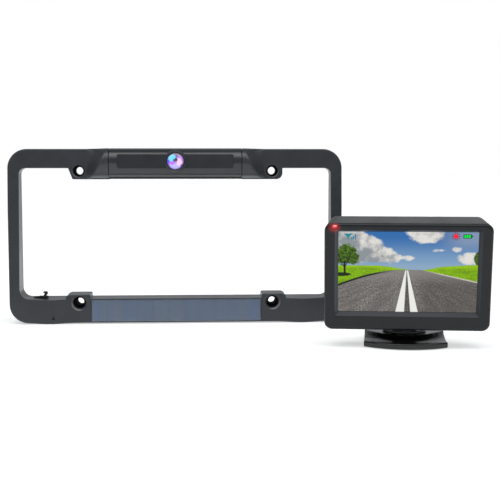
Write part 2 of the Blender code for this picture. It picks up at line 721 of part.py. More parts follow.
def bar_ends():
    """Hollow pivots and O-rings at both ends of the bar."""
    bore = CABLE_RADIUS + 0.0007
    reach = 0.0066
    profile = [(bore, reach), (PIVOT_RADIUS, reach), (PIVOT_RADIUS, 0.0),
               (0.0062, 0.0), (0.0062, -0.0016), (bore, -0.0016), (bore, reach)]
    ring = [(0.0051 + 0.0009 * cos(2 * pi * i / 8), 0.0009 * sin(2 * pi * i / 8))
            for i in range(8, 0, -1)]
    ring.append(ring[0])
    for side, name in ((-1, "left"), (1, "right")):
        axis = "X" if side > 0 else "-X"
        start = (side * (BAR_HALF_LENGTH - 0.0024 - GAP), 0, 0)
        finish(turned("pivot_" + name, profile, start, axis, 16), "black_plastic", BAR,
               smooth=True)
        seal = (side * (KNUCKLE_START + 0.0011), 0, 0)
        finish(turned("oring_" + name, ring, seal, axis, 16), "black_rubber", BAR,
               smooth=True)


def lens():
    """Lens barrel, retaining ring, domed glass and sensor board, looking along -Y."""
    board = box("sensor_board", (-0.015, -0.0042, -0.0075), (0.015, -0.0030, 0.0075))
    finish(board, "circuit_board", BAR)
    barrel = [(0.0, 0.0055), (0.0045, 0.0055), (0.0045, 0.0030), (0.0062, 0.0030),
              (0.0062, 0.0), (0.0, 0.0)]
    finish(turned("lens_barrel", barrel, (0, -0.0045, 0), "-Y", 16), "black_plastic", BAR,
           smooth=True)
    ring = [(0.0052, 0.0015), (0.0072, 0.0015), (0.0072, 0.0), (0.0052, 0.0),
            (0.0052, 0.0015)]
    finish(turned("lens_ring", ring, (0, -0.0103, 0), "-Y", 24), "black_plastic", BAR,
           smooth=True)
    dome = [(0.0, 0.0034)]
    for i in range(1, 5):
        radius = LENS_RADIUS * sin(pi / 2 * i / 4)
        dome.append((radius, 0.0012 + 0.0022 * cos(pi / 2 * i / 4)))
    dome += [(LENS_RADIUS, 0.0), (0.0, 0.0)]
    finish(turned("lens_glass", dome, (0, -0.0121, 0), "-Y", 28), "lens_glass", BAR,
           smooth=True)


# ---------------------------------------------------------------- stand

UNIT = empty("monitor_unit", MONITOR_FROM_FRAME + FRAME.location, (0, 0, MONITOR_YAW))
SWIVEL = empty("swivel_axis", (0.0, SWIVEL_Y, BASE_HEIGHT), parent=UNIT)


def base_outline(inset):
    """Plan of the base: a bowed front, sides that draw in, and a round-cornered rear."""
    centre = BASE_FRONT + BASE_ARC
    radius = BASE_ARC - inset
    half = BASE_HALF_WIDTH - inset
    points = []
    for i in range(-6, 7):
        x = half * i / 6
        points.append((x, centre - sqrt(radius ** 2 - x ** 2), 0.0))
    rear = BASE_HALF_WIDTH_REAR - inset
    points += [(rear, BASE_REAR - inset, 0.008), (-rear, BASE_REAR - inset, 0.008)]
    return rounded(points)


def base_form(name, inset, low, lip, height):
    """A turned dome, whose brim follows the bowed front, cut to the base's plan."""
    centre = BASE_FRONT + BASE_ARC
    brim = BASE_ARC + 0.004
    profile = [(0.0, height)]
    for i in range(6):
        turn = pi / 2 * i / 5
        profile.append((BASE_ARC - inset - 0.0035 - BASE_SWEEP * cos(turn),
                        lip + (height - lip) * (1 - sin(turn))))
    profile += [(brim, lip), (brim, low), (0.0, low)]
    form = turned(name, profile, (0.0, centre, 0.0), "Z", 48)
    boolean(form, plate(name + "_plan", base_outline(inset), low - 0.002, height + 0.002,
                        "Z"), "INTERSECT")
    return form


def stand_base():
    base = base_form("stand_base", 0.0, BASE_BOTTOM, BASE_LIP, BASE_HEIGHT)
    hollow = base_form("base_hollow", BASE_WALL, BASE_BOTTOM - 0.001,
                       BASE_LIP - BASE_WALL * 0.5, BASE_HEIGHT - BASE_WALL)
    axis_hole = rod("swivel_hole", (0, SWIVEL_Y, 0.001), (0, SWIVEL_Y, 0.012), 0.0023)
    cut(base, hollow, axis_hole)
    finish(base, "satin_black", UNIT)
    cover = plate("base_cover", base_outline(BASE_WALL + GAP), 0.0014, 0.0026, "Z")
    finish(cover, "black_plastic", UNIT)
    pad = plate("adhesive_pad", base_outline(0.0042), 0.0, 0.0011, "Z")
    finish(pad, "grey_foam", UNIT)


def swivel_plate():
    """The turntable and the two ears that hold the hinge pin."""
    disc = rod("swivel_plate", (0, 0, GAP), (0, 0, 0.0023), DISC_RADIUS, 32)
    back = HINGE.y - SWIVEL_Y
    top = HINGE.z - BASE_HEIGHT
    foot = HINGE_EYE + 0.0015
    ear = [(back + foot, 0.0015), (back + HINGE_EYE, top)]
    for i in range(1, 9):
        turn = pi * i / 9
        ear.append((back + HINGE_EYE * cos(turn), top + HINGE_EYE * sin(turn)))
    ear += [(back - HINGE_EYE, top), (back - foot, 0.0015)]
    for side in (-1, 1):
        low, high = sorted((side * EAR_INNER, side * EAR_OUTER))
        join(disc, plate(f"swivel_ear_{side}", ear, low, high, "X"))
    hub = box("swivel_hub", (-EAR_INNER - 0.0005, -0.006, 0.0010),
              (EAR_INNER + 0.0005, back + foot - 0.001, 0.0068))
    screw_hole = rod("swivel_screw_hole", (0, 0, -0.001), (0, 0, 0.0075), 0.0023)
    pin_hole = rod("hinge_pin_hole", (-0.02, back, top), (0.02, back, top), HINGE_PIN + GAP)
    join(disc, hub)
    cut(disc, screw_hole, pin_hole)
    finish(disc, "black_plastic", SWIVEL)
    profile = [(0.0, 0.0064), (0.0015, 0.0064), (0.002, 0.0058),
               (0.002, -BASE_WALL - GAP), (0.0042, -BASE_WALL - GAP),
               (0.0042, -BASE_WALL - GAP - 0.0018), (0.0, -BASE_WALL - GAP - 0.0018)]
    finish(turned("swivel_screw", profile, (0, 0, 0), "Z", 14), "steel", SWIVEL, smooth=True)


# ---------------------------------------------------------------- monitor

def monitor_point(unit_point):
    """A point of the stand's frame, in the monitor's own leaning frame."""
    turn = Matrix.Rotation(-MONITOR_LEAN, 3, "X")
    return turn @ (Vector(unit_point) - Vector((0.0, 0.0, MONITOR_LIFT)))


TILT = empty("tilt_axis", HINGE - SWIVEL.location, (MONITOR_LEAN, 0, 0), SWIVEL)
HINGE_HERE = monitor_point(HINGE)


def monitor_part(obj, kind):
    """Finish a part made in the monitor's frame, under the empty on its hinge."""
    return finish(obj, kind, TILT, -HINGE_HERE)


def hinge_parts():
    """Pin, nut and friction washers on the tilt axis, which turn with the monitor."""
    pin = [(0.0, 0.0160), (0.0016, 0.0160), (HINGE_PIN, 0.0155),
           (HINGE_PIN, -EAR_OUTER - GAP), (0.0042, -EAR_OUTER - GAP),
           (0.0042, -EAR_OUTER - GAP - 0.0018), (0.0032, -EAR_OUTER - GAP - 0.0026),
           (0.0, -EAR_OUTER - GAP - 0.0026)]
    finish(turned("hinge_pin", pin, (0, 0, 0), "X", 16), "steel", TILT, smooth=True)
    bore = HINGE_PIN + GAP
    for side, name in ((-1, "left"), (1, "right")):
        start = LUG_HALF_WIDTH + GAP
        washer = [(bore, start + WASHER_THICKNESS), (0.0055, start + WASHER_THICKNESS),
                  (0.0055, start), (bore, start), (bore, start + WASHER_THICKNESS)]
        axis = "X" if side > 0 else "-X"
        finish(turned("friction_washer_" + name, washer, (0, 0, 0), axis, 16),
               "grey_foam", TILT, smooth=True)
    nut = rod("hinge_nut", (EAR_OUTER + GAP, 0, 0), (EAR_OUTER + GAP + 0.0032, 0, 0),
              0.0046, 6)
    cut(nut, rod("nut_bore", (0.005, 0, 0), (0.02, 0, 0), bore))
    finish(nut, "steel", TILT)


def tilt_bracket():
    """The plate on the monitor's back, with the lug that turns on the hinge pin."""
    face = MONITOR_DEPTH + GAP
    bracket = plate("tilt_bracket", rectangle(0.017, 0.008, 0.034, 0.003),
                    face - HINGE_HERE.y, face - HINGE_HERE.y + 0.003)
    bracket.data.transform(Matrix.Translation((0, 0, -HINGE_HERE.z)))
    reach = face - HINGE_HERE.y + 0.0015
    lug = [(reach, -0.0042), (0.0, -HINGE_EYE)]
    for i in range(1, 9):
        turn = -pi / 2 + pi * i / 9
        lug.append((HINGE_EYE * cos(turn), HINGE_EYE * sin(turn)))
    lug += [(0.0, HINGE_EYE), (reach, 0.0130)]
    join(bracket, plate("bracket_lug", lug, -LUG_HALF_WIDTH, LUG_HALF_WIDTH, "X"))
    cut(bracket, rod("lug_bore", (-0.02, 0, 0), (0.02, 0, 0), HINGE_PIN + GAP))
    for side, name in ((-1, "left"), (1, "right")):
        place = Vector((side * BRACKET_SCREW_X, face + 0.003, BRACKET_SCREW_Z)) - HINGE_HERE
        cut(bracket, rod(f"bracket_hole_{side}", place - Vector((0, 0.02, 0)),
                         place + Vector((0, 0.02, 0)), 0.0016, 16))
        screw("bracket_screw_" + name, place + Vector((0, GAP, 0)), "Y", 0.0026, 0.0013,
              0.0095, TILT)
    finish(bracket, "black_plastic", TILT)


def frustum(name, front, back, low, high):
    """A block along Y whose ends are rectangles (half width, low z, high z)."""
    ends = (front, back)
    return shaped_box(name, lambda i, j, k: ((2 * i - 1) * ends[j][0], (low, high)[j],
                                             ends[j][1 + k]))


def monitor_bezel():
    wide, top = MONITOR_HALF_WIDTH, MONITOR_HEIGHT
    bezel = plate("monitor_bezel", rectangle(wide, 0.0, top, MONITOR_CORNER),
                  0.0, BEZEL_EDGE)
    block = plate("bezel_block", rectangle(wide - 0.004, 0.0026, top - 0.0026, 0.004),
                  0.0015, BEZEL_DEPTH)
    join(bezel, block)
    grow = SCREEN_CHAMFER + 0.0005
    mouth = frustum("screen_mouth",
                    (SCREEN_HALF_WIDTH + grow, SCREEN_LOW - grow, SCREEN_TOP + grow),
                    (SCREEN_HALF_WIDTH, SCREEN_LOW, SCREEN_TOP), -0.0005, SCREEN_CHAMFER)
    through = box("screen_opening", (-SCREEN_HALF_WIDTH, -0.01, SCREEN_LOW),
                  (SCREEN_HALF_WIDTH, 0.02, SCREEN_TOP))
    margin = LCD_MARGIN + 0.0005
    pocket = box("screen_pocket", (-SCREEN_HALF_WIDTH - margin, 0.0043, SCREEN_LOW - margin),
                 (SCREEN_HALF_WIDTH + margin, 0.02, SCREEN_TOP + margin))
    cut(bezel, mouth, through, pocket)
    for side in (-1, 1):
        x = side * MONITOR_SCREW_X
        post = rod(f"bezel_post_{side}", (x, 0.007, MONITOR_SCREW_Z),
                   (x, 0.0127, MONITOR_SCREW_Z), 0.003, 16)
        pilot = rod(f"bezel_pilot_{side}", (x, 0.005, MONITOR_SCREW_Z),
                    (x, 0.02, MONITOR_SCREW_Z), 0.0015, 12)
        join(bezel, post)
        cut(bezel, pilot)
    slot = box("led_slot", (-0.0602, -0.001, 0.0828), (-0.0558, 0.0100, 0.0844))
    cut(bezel, slot)
    monitor_part(bezel, "black_plastic")
    pipe = box("led_light_pipe", (-0.0599, 0.0001, 0.0831), (-0.0561, 0.0095, 0.0841))
    monitor_part(pipe, "red_light")


def taper_rear(obj, front, rear):
    """Draw in the rear end of a plate's sides by the monitor's taper."""
    for vert in obj.data.vertices:
        along = (vert.co.y - front) / (rear - front)
        vert.co.x *= 1 - MONITOR_SIDE_TAPER / MONITOR_HALF_WIDTH * along


def monitor_rear_shell():
    wide, top, wall = MONITOR_HALF_WIDTH, MONITOR_HEIGHT, MONITOR_WALL
    front, rear = BEZEL_EDGE + GAP, MONITOR_DEPTH
    shell = plate("monitor_rear_shell", rectangle(wide, 0.0, top, MONITOR_CORNER),
                  front, rear)
    hollow = plate("monitor_hollow",
                   rectangle(wide - wall, wall, top - wall, MONITOR_CORNER - wall),
                   front, rear - wall)
    taper_rear(shell, front, rear)
    taper_rear(hollow, front, rear - wall)
    hollow.data.transform(Matrix.Translation((0, -0.0002, 0)))
    cut(shell, hollow)
    for side in (-1, 1):
        x, z = side * MONITOR_SCREW_X, MONITOR_SCREW_Z
        join(shell, rod(f"rear_post_{side}", (x, 0.013, z), (x, 0.027, z), 0.0036, 12))
        cut(shell, rod(f"rear_hole_{side}", (x, 0.005, z), (x, 0.03, z), 0.0016, 8),
            rod(f"rear_seat_{side}", (x, 0.0225, z), (x, 0.03, z), 0.0029, 12))
        x, z = side * BRACKET_SCREW_X, BRACKET_SCREW_Z
        join(shell, rod(f"bracket_post_{side}", (x, 0.0190, z), (x, 0.027, z), 0.003, 12))
        cut(shell, rod(f"bracket_pilot_{side}", (x, 0.0205, z), (x, 0.03, z), 0.0016, 8))
    for i, x in enumerate(BUTTON_X):
        cut(shell, rod(f"button_hole_{i}", (x, 0.02, BUTTON_Z), (x, 0.03, BUTTON_Z),
                       BUTTON_RADIUS + GAP, 14))
    gland = rod("gland_hole", (GLAND_X, 0.02, GLAND_Z), (GLAND_X, 0.03, GLAND_Z), 0.0031, 14)
    slots = [box(f"vent_slot_{i}", (0.022, 0.02, 0.0500 + 0.004 * i),
                 (0.048, 0.03, 0.0515 + 0.004 * i)) for i in range(5)]
    cut(shell, gland, *slots)
    monitor_part(shell, "black_plastic")
    for side, name in ((-1, "left"), (1, "right")):
        place = Vector((side * MONITOR_SCREW_X, 0.0228, MONITOR_SCREW_Z)) - HINGE_HERE
        screw("monitor_screw_" + name, place, "Y", 0.0026, 0.0012, 0.0145, TILT)


def monitor_insides():
    low, high = SCREEN_LOW - LCD_MARGIN, SCREEN_TOP + LCD_MARGIN
    wide = SCREEN_HALF_WIDTH + LCD_MARGIN
    monitor_part(box("screen_glass", (-wide, 0.0046, low), (wide, 0.0056, high)), "screen")
    monitor_part(box("lcd_panel", (-wide, 0.0059, low), (wide, 0.0094, high)), "steel")
    board = box("monitor_board", (-0.052, 0.0120, 0.040), (0.052, 0.0136, 0.078))
    join(board, box("monitor_chip", (-0.012, 0.0135, 0.046), (0.004, 0.0152, 0.060)),
         box("monitor_radio", (0.022, 0.0135, 0.060), (0.040, 0.0160, 0.074)))
    monitor_part(board, "circuit_board")


def monitor_buttons():
    names = ("button_menu", "button_up", "button_down")
    for name, x in zip(names, BUTTON_X):
        slide = empty(name + "_slide", Vector((x, MONITOR_DEPTH, BUTTON_Z)) - HINGE_HERE,
                      parent=TILT)
        profile = [(0.0, 0.0012), (BUTTON_RADIUS * 0.7, 0.0012), (BUTTON_RADIUS, 0.0006),
                   (BUTTON_RADIUS, -MONITOR_WALL - GAP), (BUTTON_RADIUS + 0.001,
                   -MONITOR_WALL - GAP), (BUTTON_RADIUS + 0.001, -MONITOR_WALL - 0.0013),
                   (0.0012, -MONITOR_WALL - 0.0013), (0.0012, -0.0135), (0.0, -0.0135)]
        finish(turned(name, profile, (0, 0, 0), "Y", 14), "black_rubber", slide, smooth=True)


def cable_gland():
    """The strain relief of the monitor's power lead, open where the lead would go in."""
    profile = [(0.0016, 0.0100), (0.0023, 0.0100), (0.0028, 0.0004), (0.0042, 0.0004),
               (0.0042, GAP), (0.0028, GAP), (0.0028, -MONITOR_WALL - GAP),
               (0.0040, -MONITOR_WALL - GAP), (0.0040, -MONITOR_WALL - 0.0015),
               (0.0016, -MONITOR_WALL - 0.0015), (0.0016, 0.0100)]
    place = Vector((GLAND_X, MONITOR_DEPTH, GLAND_Z)) - HINGE_HERE
    finish(turned("cable_gland", profile, place, "Y", 14), "black_rubber", TILT, smooth=True)


frame_front_shell()
frame_back_cover()
frame_screws()
solar_panel()
frame_insides()
port_plug()
camera_bar()
bar_ends()
lens()
stand_base()
swivel_plate()
hinge_parts()
tilt_bracket()
monitor_bezel()
monitor_rear_shell()
monitor_insides()
monitor_buttons()
cable_gland()
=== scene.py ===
"""Looks of the backup camera kit: detailed pieces, finishes, light and camera.

Metres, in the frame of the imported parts: +X to the right, +Y to the back, +Z up.
Each piece is made in the frame of the part it belongs to, and then put in its place.
"""

import json
from math import atan2, ceil, cos, exp, hypot, pi, radians, sin, sqrt

import bmesh
import bpy
from mathutils import Matrix, Vector


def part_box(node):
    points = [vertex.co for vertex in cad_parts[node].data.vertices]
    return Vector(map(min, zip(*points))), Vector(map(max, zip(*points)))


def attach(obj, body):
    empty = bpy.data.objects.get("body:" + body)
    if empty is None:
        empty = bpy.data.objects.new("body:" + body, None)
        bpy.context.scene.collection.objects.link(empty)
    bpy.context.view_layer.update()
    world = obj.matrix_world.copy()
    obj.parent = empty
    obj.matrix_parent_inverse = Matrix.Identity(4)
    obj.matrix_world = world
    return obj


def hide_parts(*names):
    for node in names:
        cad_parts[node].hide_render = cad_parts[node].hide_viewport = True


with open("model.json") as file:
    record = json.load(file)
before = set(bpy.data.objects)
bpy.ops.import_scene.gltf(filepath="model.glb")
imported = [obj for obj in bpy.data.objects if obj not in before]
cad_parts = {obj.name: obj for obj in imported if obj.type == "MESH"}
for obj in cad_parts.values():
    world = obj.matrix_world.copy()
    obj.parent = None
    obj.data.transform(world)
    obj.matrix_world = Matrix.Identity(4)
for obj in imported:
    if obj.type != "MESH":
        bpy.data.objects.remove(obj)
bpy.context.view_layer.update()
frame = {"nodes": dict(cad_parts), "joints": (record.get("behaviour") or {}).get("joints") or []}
JOINTS = {joint["name"]: joint for joint in frame["joints"]}

GAP = 0.0003

# Plate frame.
FRAME_HALF_WIDTH = 0.1537
FRAME_HALF_WIDTH_LOW = 0.1523
FRAME_TOP = 0.1604
FRAME_DEPTH_LOW = 0.0262
FRAME_DEPTH_TOP = 0.0143
FRAME_CORNER = 0.0175
FRAME_WALL = 0.0021
COVER_THICKNESS = 0.002
FOOT_X = 0.116
FOOT_SPREAD = 0.014
FOOT_DROP = 0.0011
FRAME_EDGE = 0.0013
WINDOW_EDGE = 0.0007
WINDOW_HALF_WIDTH = 0.1433
WINDOW_LOW = 0.0232
WINDOW_TOP = 0.1428
TAB_HALF_WIDTH = 0.0985
TAB_LOW = 0.1326
TAB_CORNER = 0.0055
TAB_SLANT = 0.0040
BOSS_INNER = 0.079
BOSS_OUTER = 0.1012
BOSS_TOP = 0.027
BOLT_X = 0.0889
BOLT_HOLE = 0.0035
BOLT_COLUMN = 0.0085
# Height, seat radius, seat depth, rim chamfer and number of sides of the low and the top bolt
# holes. Cut with these numbers of sides, the holes come out open.
BOLTS = ((0.01965, 0.0056, 0.009, 0.0015, 46), (0.1403, 0.0053, 0.0075, 0.0006, 45))
COVER_SCREWS = ((-0.118, 0.1487), (0.118, 0.1487), (-0.141, 0.012), (0.141, 0.012),
                (-0.0735, 0.012), (0.0735, 0.012))
PANEL_HALF_WIDTH = 0.078
PANEL_LOW = 0.0021
PANEL_TOP = 0.0222
PANEL_RECESS = 0.0024
CELL_COUNT = 11
STATUS_LIGHT = (-0.1125, 0.0052)

# Charging port.
PORT_X = -0.1251
PORT_Y = -0.0115
PLUG_HINGE_X = -0.1321

# Camera bar.
BAR_Y = -0.016
BAR_Z = 0.1474
BAR_RADIUS = 0.0136
BAR_HALF_LENGTH = 0.0604
BAR_REST_ANGLE = radians(-8)
FLAT_HALF_LENGTH = 0.0525
FLAT_HALF_HEIGHT = 0.0065
FLAT_DISTANCE = sqrt(BAR_RADIUS ** 2 - FLAT_HALF_HEIGHT ** 2)
LENS_RADIUS = 0.0075
KNUCKLE_START = 0.0608
KNUCKLE_END = 0.0835
PIVOT_RADIUS = 0.0039
# Below this height, in the bar's own frame, the bar is painted black: painted shade along its
# underside.
PAINTED_SHADE_LINE = -0.0129

# Monitor.
MONITOR_HALF_WIDTH = 0.0655
MONITOR_HEIGHT = 0.0874
MONITOR_DEPTH = 0.029
MONITOR_CORNER = 0.0065
MONITOR_TAPER = 0.0036
MONITOR_WALL = 0.0022
MONITOR_LIFT = 0.0149
MONITOR_LEAN = radians(9.2)
BEZEL_EDGE = 0.0032
BEZEL_DEPTH = 0.008
SCREEN_HALF_WIDTH = 0.0545
SCREEN_LOW = 0.0147
SCREEN_TOP = 0.0804
SCREEN_MARGIN = 0.0015
LIGHT_X = -0.0572
LIGHT_Z = 0.0855
SCREW_X = 0.05
SCREW_Z = 0.0078
BUTTON_X = (-0.028, -0.039, -0.050)
BUTTON_Z = 0.070
BUTTON_RADIUS = 0.0028
GLAND_X = 0.042
GLAND_Z = 0.012
BRACKET_SCREW = (0.0125, 0.028)

# Stand.
SWIVEL_Y = 0.032
BASE_HEIGHT = 0.010
BASE_HALF_WIDTH = 0.0336
BASE_HALF_WIDTH_REAR = 0.0313
BASE_FRONT = -0.0055
BASE_CORNER_Y = 0.0070
BASE_REAR = 0.062
BASE_BOTTOM = 0.0005
BASE_LIP = 0.0046
BASE_SWEEP = 0.0135
BASE_BRIM = 0.0035
BASE_SAGITTA = BASE_CORNER_Y - BASE_FRONT
BASE_ARC = (BASE_HALF_WIDTH ** 2 + BASE_SAGITTA ** 2) / (2 * BASE_SAGITTA)
HINGE_EYE = 0.006
HINGE_PIN = 0.0021
EAR_INNER = 0.0064
EAR_OUTER = 0.0104
LUG_HALF_WIDTH = 0.005

SIDES = ((-1, "left"), (1, "right"))


# ---------------------------------------------------------------- places

def joint_place(name, turn=Matrix.Identity(4)):
    return Matrix.Translation(JOINTS[name]["pos_m"]) @ turn


cover_low, cover_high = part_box("frame_back_cover")
FRAME = Matrix.Translation(((cover_low.x + cover_high.x) / 2, cover_high.y, 0))
BAR = joint_place("camera_tilt", Matrix.Rotation(BAR_REST_ANGLE, 4, "X"))
PLUG = joint_place("port_plug_flap")
tilt_axis = JOINTS["monitor_tilt"]["axis"]
YAW = Matrix.Rotation(atan2(tilt_axis[1], tilt_axis[0]), 4, "Z")
SWIVEL = joint_place("monitor_swivel", YAW)
UNIT = SWIVEL @ Matrix.Translation((0, -SWIVEL_Y, -BASE_HEIGHT))
LEAN = Matrix.Rotation(MONITOR_LEAN, 4, "X")
MONITOR = UNIT @ Matrix.Translation((0, 0, MONITOR_LIFT)) @ LEAN
TILT = joint_place("monitor_tilt", YAW @ LEAN)
HINGE_IN_MONITOR = MONITOR.inverted() @ TILT.translation


# ---------------------------------------------------------------- shapes

def new_object(name, bm):
    """An object from a bmesh, with its faces turned outwards."""
    bmesh.ops.recalc_face_normals(bm, faces=bm.faces)
    mesh = bpy.data.meshes.new(name)
    bm.to_mesh(mesh)
    bm.free()
    obj = bpy.data.objects.new(name, mesh)
    bpy.context.scene.collection.objects.link(obj)
    return obj


def join_rings(bm, rings, around=False):
    """Faces between rings of equally many vertices, in order."""
    pairs = list(zip(rings, rings[1:]))
    if around:
        pairs.append((rings[-1], rings[0]))
    for near, far in pairs:
        for i in range(len(near)):
            j = (i + 1) % len(near)
            bm.faces.new((near[i], near[j], far[j], far[i]))


def lofted(name, loops, around=False):
    """A solid through closed loops of points: capped at both ends, or joined into a ring."""
    bm = bmesh.new()
    rings = [[bm.verts.new(point) for point in loop] for loop in loops]
    join_rings(bm, rings, around)
    if not around:
        bm.faces.new(rings[0])
        bm.faces.new(rings[-1])
    return new_object(name, bm)


def framed(name, outer_loops, inner_loops):
    """A solid with a hole, from an outer and an inner skin, both from back to front."""
    bm = bmesh.new()
    skins = []
    for loops in (outer_loops, inner_loops):
        rings = [[bm.verts.new(point) for point in loop] for loop in loops]
        join_rings(bm, rings)
        skins.append(rings)
    for end in (0, -1):
        edges = []
        for rings in skins:
            ring = rings[end]
            edges += [bm.edges.get((ring[i - 1], ring[i])) for i in range(len(ring))]
        bmesh.ops.triangle_fill(bm, use_beauty=True, edges=edges)
    return new_object(name, bm)


def turned(name, profile, axis="Z", at=(0.0, 0.0, 0.0), sides=64):
    """A turned solid. profile lists (radius, height); one that returns to its start is a ring."""
    ring = profile[0] == profile[-1]
    points = profile[:-1] if ring else profile
    directions = {"Z": ((1, 0, 0), (0, 1, 0), (0, 0, 1)), "Y": ((1, 0, 0), (0, 0, -1), (0, 1, 0)),
                  "-Y": ((1, 0, 0), (0, 0, 1), (0, -1, 0)), "X": ((0, 1, 0), (0, 0, 1), (1, 0, 0)),
                  "-X": ((0, 1, 0), (0, 0, -1), (-1, 0, 0))}[axis]
    across, up, along = (Vector(direction) for direction in directions)
    centre = Vector(at)
    bm = bmesh.new()
    rings = []
    for radius, height in points:
        middle = centre + along * height
        if radius < 1e-7:
            rings.append([bm.verts.new(middle)])
            continue
        rings.append([bm.verts.new(middle + (across * cos(turn) + up * sin(turn)) * radius)
                      for turn in (2 * pi * i / sides for i in range(sides))])
    pairs = list(zip(rings, rings[1:]))
    if ring:
        pairs.append((rings[-1], rings[0]))
    for near, far in pairs:
        for i in range(sides):
            j = (i + 1) % sides
            corners = [near[i % len(near)], near[j % len(near)],
                       far[j % len(far)], far[i % len(far)]]
            face = list(dict.fromkeys(corners))
            if len(face) > 2:
                bm.faces.new(face)
    return new_object(name, bm)


def box(name, low, high):
    bm = bmesh.new()
    bmesh.ops.create_cube(bm, size=1.0)
    for vert in bm.verts:
        for axis in range(3):
            vert.co[axis] = high[axis] if vert.co[axis] > 0 else low[axis]
    return new_object(name, bm)


def rod(name, start, end, radius, sides=32):
    start, end = Vector(start), Vector(end)
    bm = bmesh.new()
    turn = (end - start).to_track_quat("Z", "Y").to_matrix().to_4x4()
    bmesh.ops.create_cone(bm, cap_ends=True, segments=sides, radius1=radius, radius2=radius,
                          depth=(end - start).length,
                          matrix=Matrix.Translation((start + end) / 2) @ turn)
    return new_object(name, bm)


def rounded(corners, steps=8):
    """An outline through corners (x, y, radius), with an arc at each round one."""
    points = []
    count = len(corners)
    for i, (x, y, radius) in enumerate(corners):
        here = Vector((x, y))
        if not radius:
            points.append(here)
            continue
        before = (Vector(corners[i - 1][:2]) - here).normalized()
        after = (Vector(corners[(i + 1) % count][:2]) - here).normalized()
        half = before.angle(after) / 2
        reach = radius / sin(half) * cos(half)
        centre = here + (before + after).normalized() * radius / sin(half)
        first = here + before * reach - centre
        sweep = first.angle_signed(here + after * reach - centre)
        for step in range(steps + 1):
            points.append(centre + Matrix.Rotation(-sweep * step / steps, 2) @ first)
    return points


def rectangle(half_width, low, high, radius, steps=8):
    return rounded([(-half_width, low, radius), (half_width, low, radius),
                    (half_width, high, radius), (-half_width, high, radius)], steps)


def moved(outline, x, y=0.0):
    return [Vector((p.x + x, p.y + y)) for p in outline]


def divided(outline, longest):
    """The outline with points added on its long edges."""
    points = []
    for here, there in zip(outline, outline[1:] + outline[:1]):
        parts = max(1, ceil((there - here).length / longest))
        points += [here.lerp(there, i / parts) for i in range(parts)]
    return points


def inset(outline, distance):
    """The outline moved inwards; its points run anticlockwise."""
    points = []
    count = len(outline)
    for i in range(count):
        before = (outline[i] - outline[i - 1]).normalized()
        after = (outline[(i + 1) % count] - outline[i]).normalized()
        first, second = Vector((-before.y, before.x)), Vector((-after.y, after.x))
        points.append(outline[i] + (first + second) / (1 + first.dot(second)) * distance)
    return points


def arc(radius, steps=5):
    """(distance in, distance short of the face) over a quarter-round edge, from its side."""
    return [(radius * (1 - cos(pi / 2 * i / steps)), radius * (1 - sin(pi / 2 * i / steps)))
            for i in range(steps + 1)]


def slab(name, outline, low, high, edge_low=0.0, edge_high=0.0, axis="Y", steps=4):
    """An outline extruded from low to high, with rounded edges."""
    spots = {"Y": lambda p, d: (p.x, d, p.y), "Z": lambda p, d: (p.x, p.y, d),
             "X": lambda p, d: (d, p.x, p.y)}[axis]
    loops = []
    if edge_low:
        loops += [[spots(p, low + short) for p in inset(outline, into)]
                  for into, short in reversed(arc(edge_low, steps))]
    else:
        loops.append([spots(p, low) for p in outline])
    if edge_high:
        loops += [[spots(p, high - short) for p in inset(outline, into)]
                  for into, short in arc(edge_high, steps)]
    else:
        loops.append([spots(p, high) for p in outline])
    return lofted(name, loops)


def carve(obj, *tools):
    """Apply cutters, or other solids given as (operation, solid), and remove them."""
    for tool in tools:
        operation, other = tool if isinstance(tool, tuple) else ("DIFFERENCE", tool)
        modifier = obj.modifiers.new("carve", "BOOLEAN")
        modifier.operation = operation
        modifier.solver = "EXACT"
        modifier.object = other
    bpy.context.view_layer.update()
    seen = obj.evaluated_get(bpy.context.evaluated_depsgraph_get())
    mesh = bpy.data.meshes.new_from_object(seen)
    obj.modifiers.clear()
    obj.data = mesh
    for tool in tools:
        bpy.data.objects.remove(tool[1] if isinstance(tool, tuple) else tool)
    return obj


def piece(obj, body, place, material, nodes=(), sharp=32):
    """Finish an object as a piece that rides on a body and stands for CAD nodes."""
    obj.data.materials.clear()
    obj.data.materials.append(material)
    obj.data.shade_smooth()
    obj.data.set_sharp_from_angle(angle=radians(sharp))
    obj.matrix_world = place
    weighted = obj.modifiers.new("normals", "WEIGHTED_NORMAL")
    weighted.keep_sharp = True
    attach(obj, body)
    if nodes:
        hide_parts(*nodes)
    return obj


# ---------------------------------------------------------------- finishes

class Nodes:
    """A node tree, with short names for making and joining its nodes."""

    def __init__(self, tree):
        self.nodes, self.links = tree.nodes, tree.links

    def node(self, kind, **settings):
        made = self.nodes.new(kind)
        for name, value in settings.items():
            setattr(made, name, value)
        return made

    def put(self, value, socket):
        if isinstance(value, bpy.types.NodeSocket):
            self.links.new(value, socket)
        elif isinstance(value, tuple) and len(value) == 3 and socket.type == "RGBA":
            socket.default_value = (*value, 1.0)
        else:
            socket.default_value = value

    def math(self, operation, *values, clamp=False):
        made = self.node("ShaderNodeMath", operation=operation, use_clamp=clamp)
        for value, socket in zip(values, made.inputs):
            self.put(value, socket)
        return made.outputs[0]


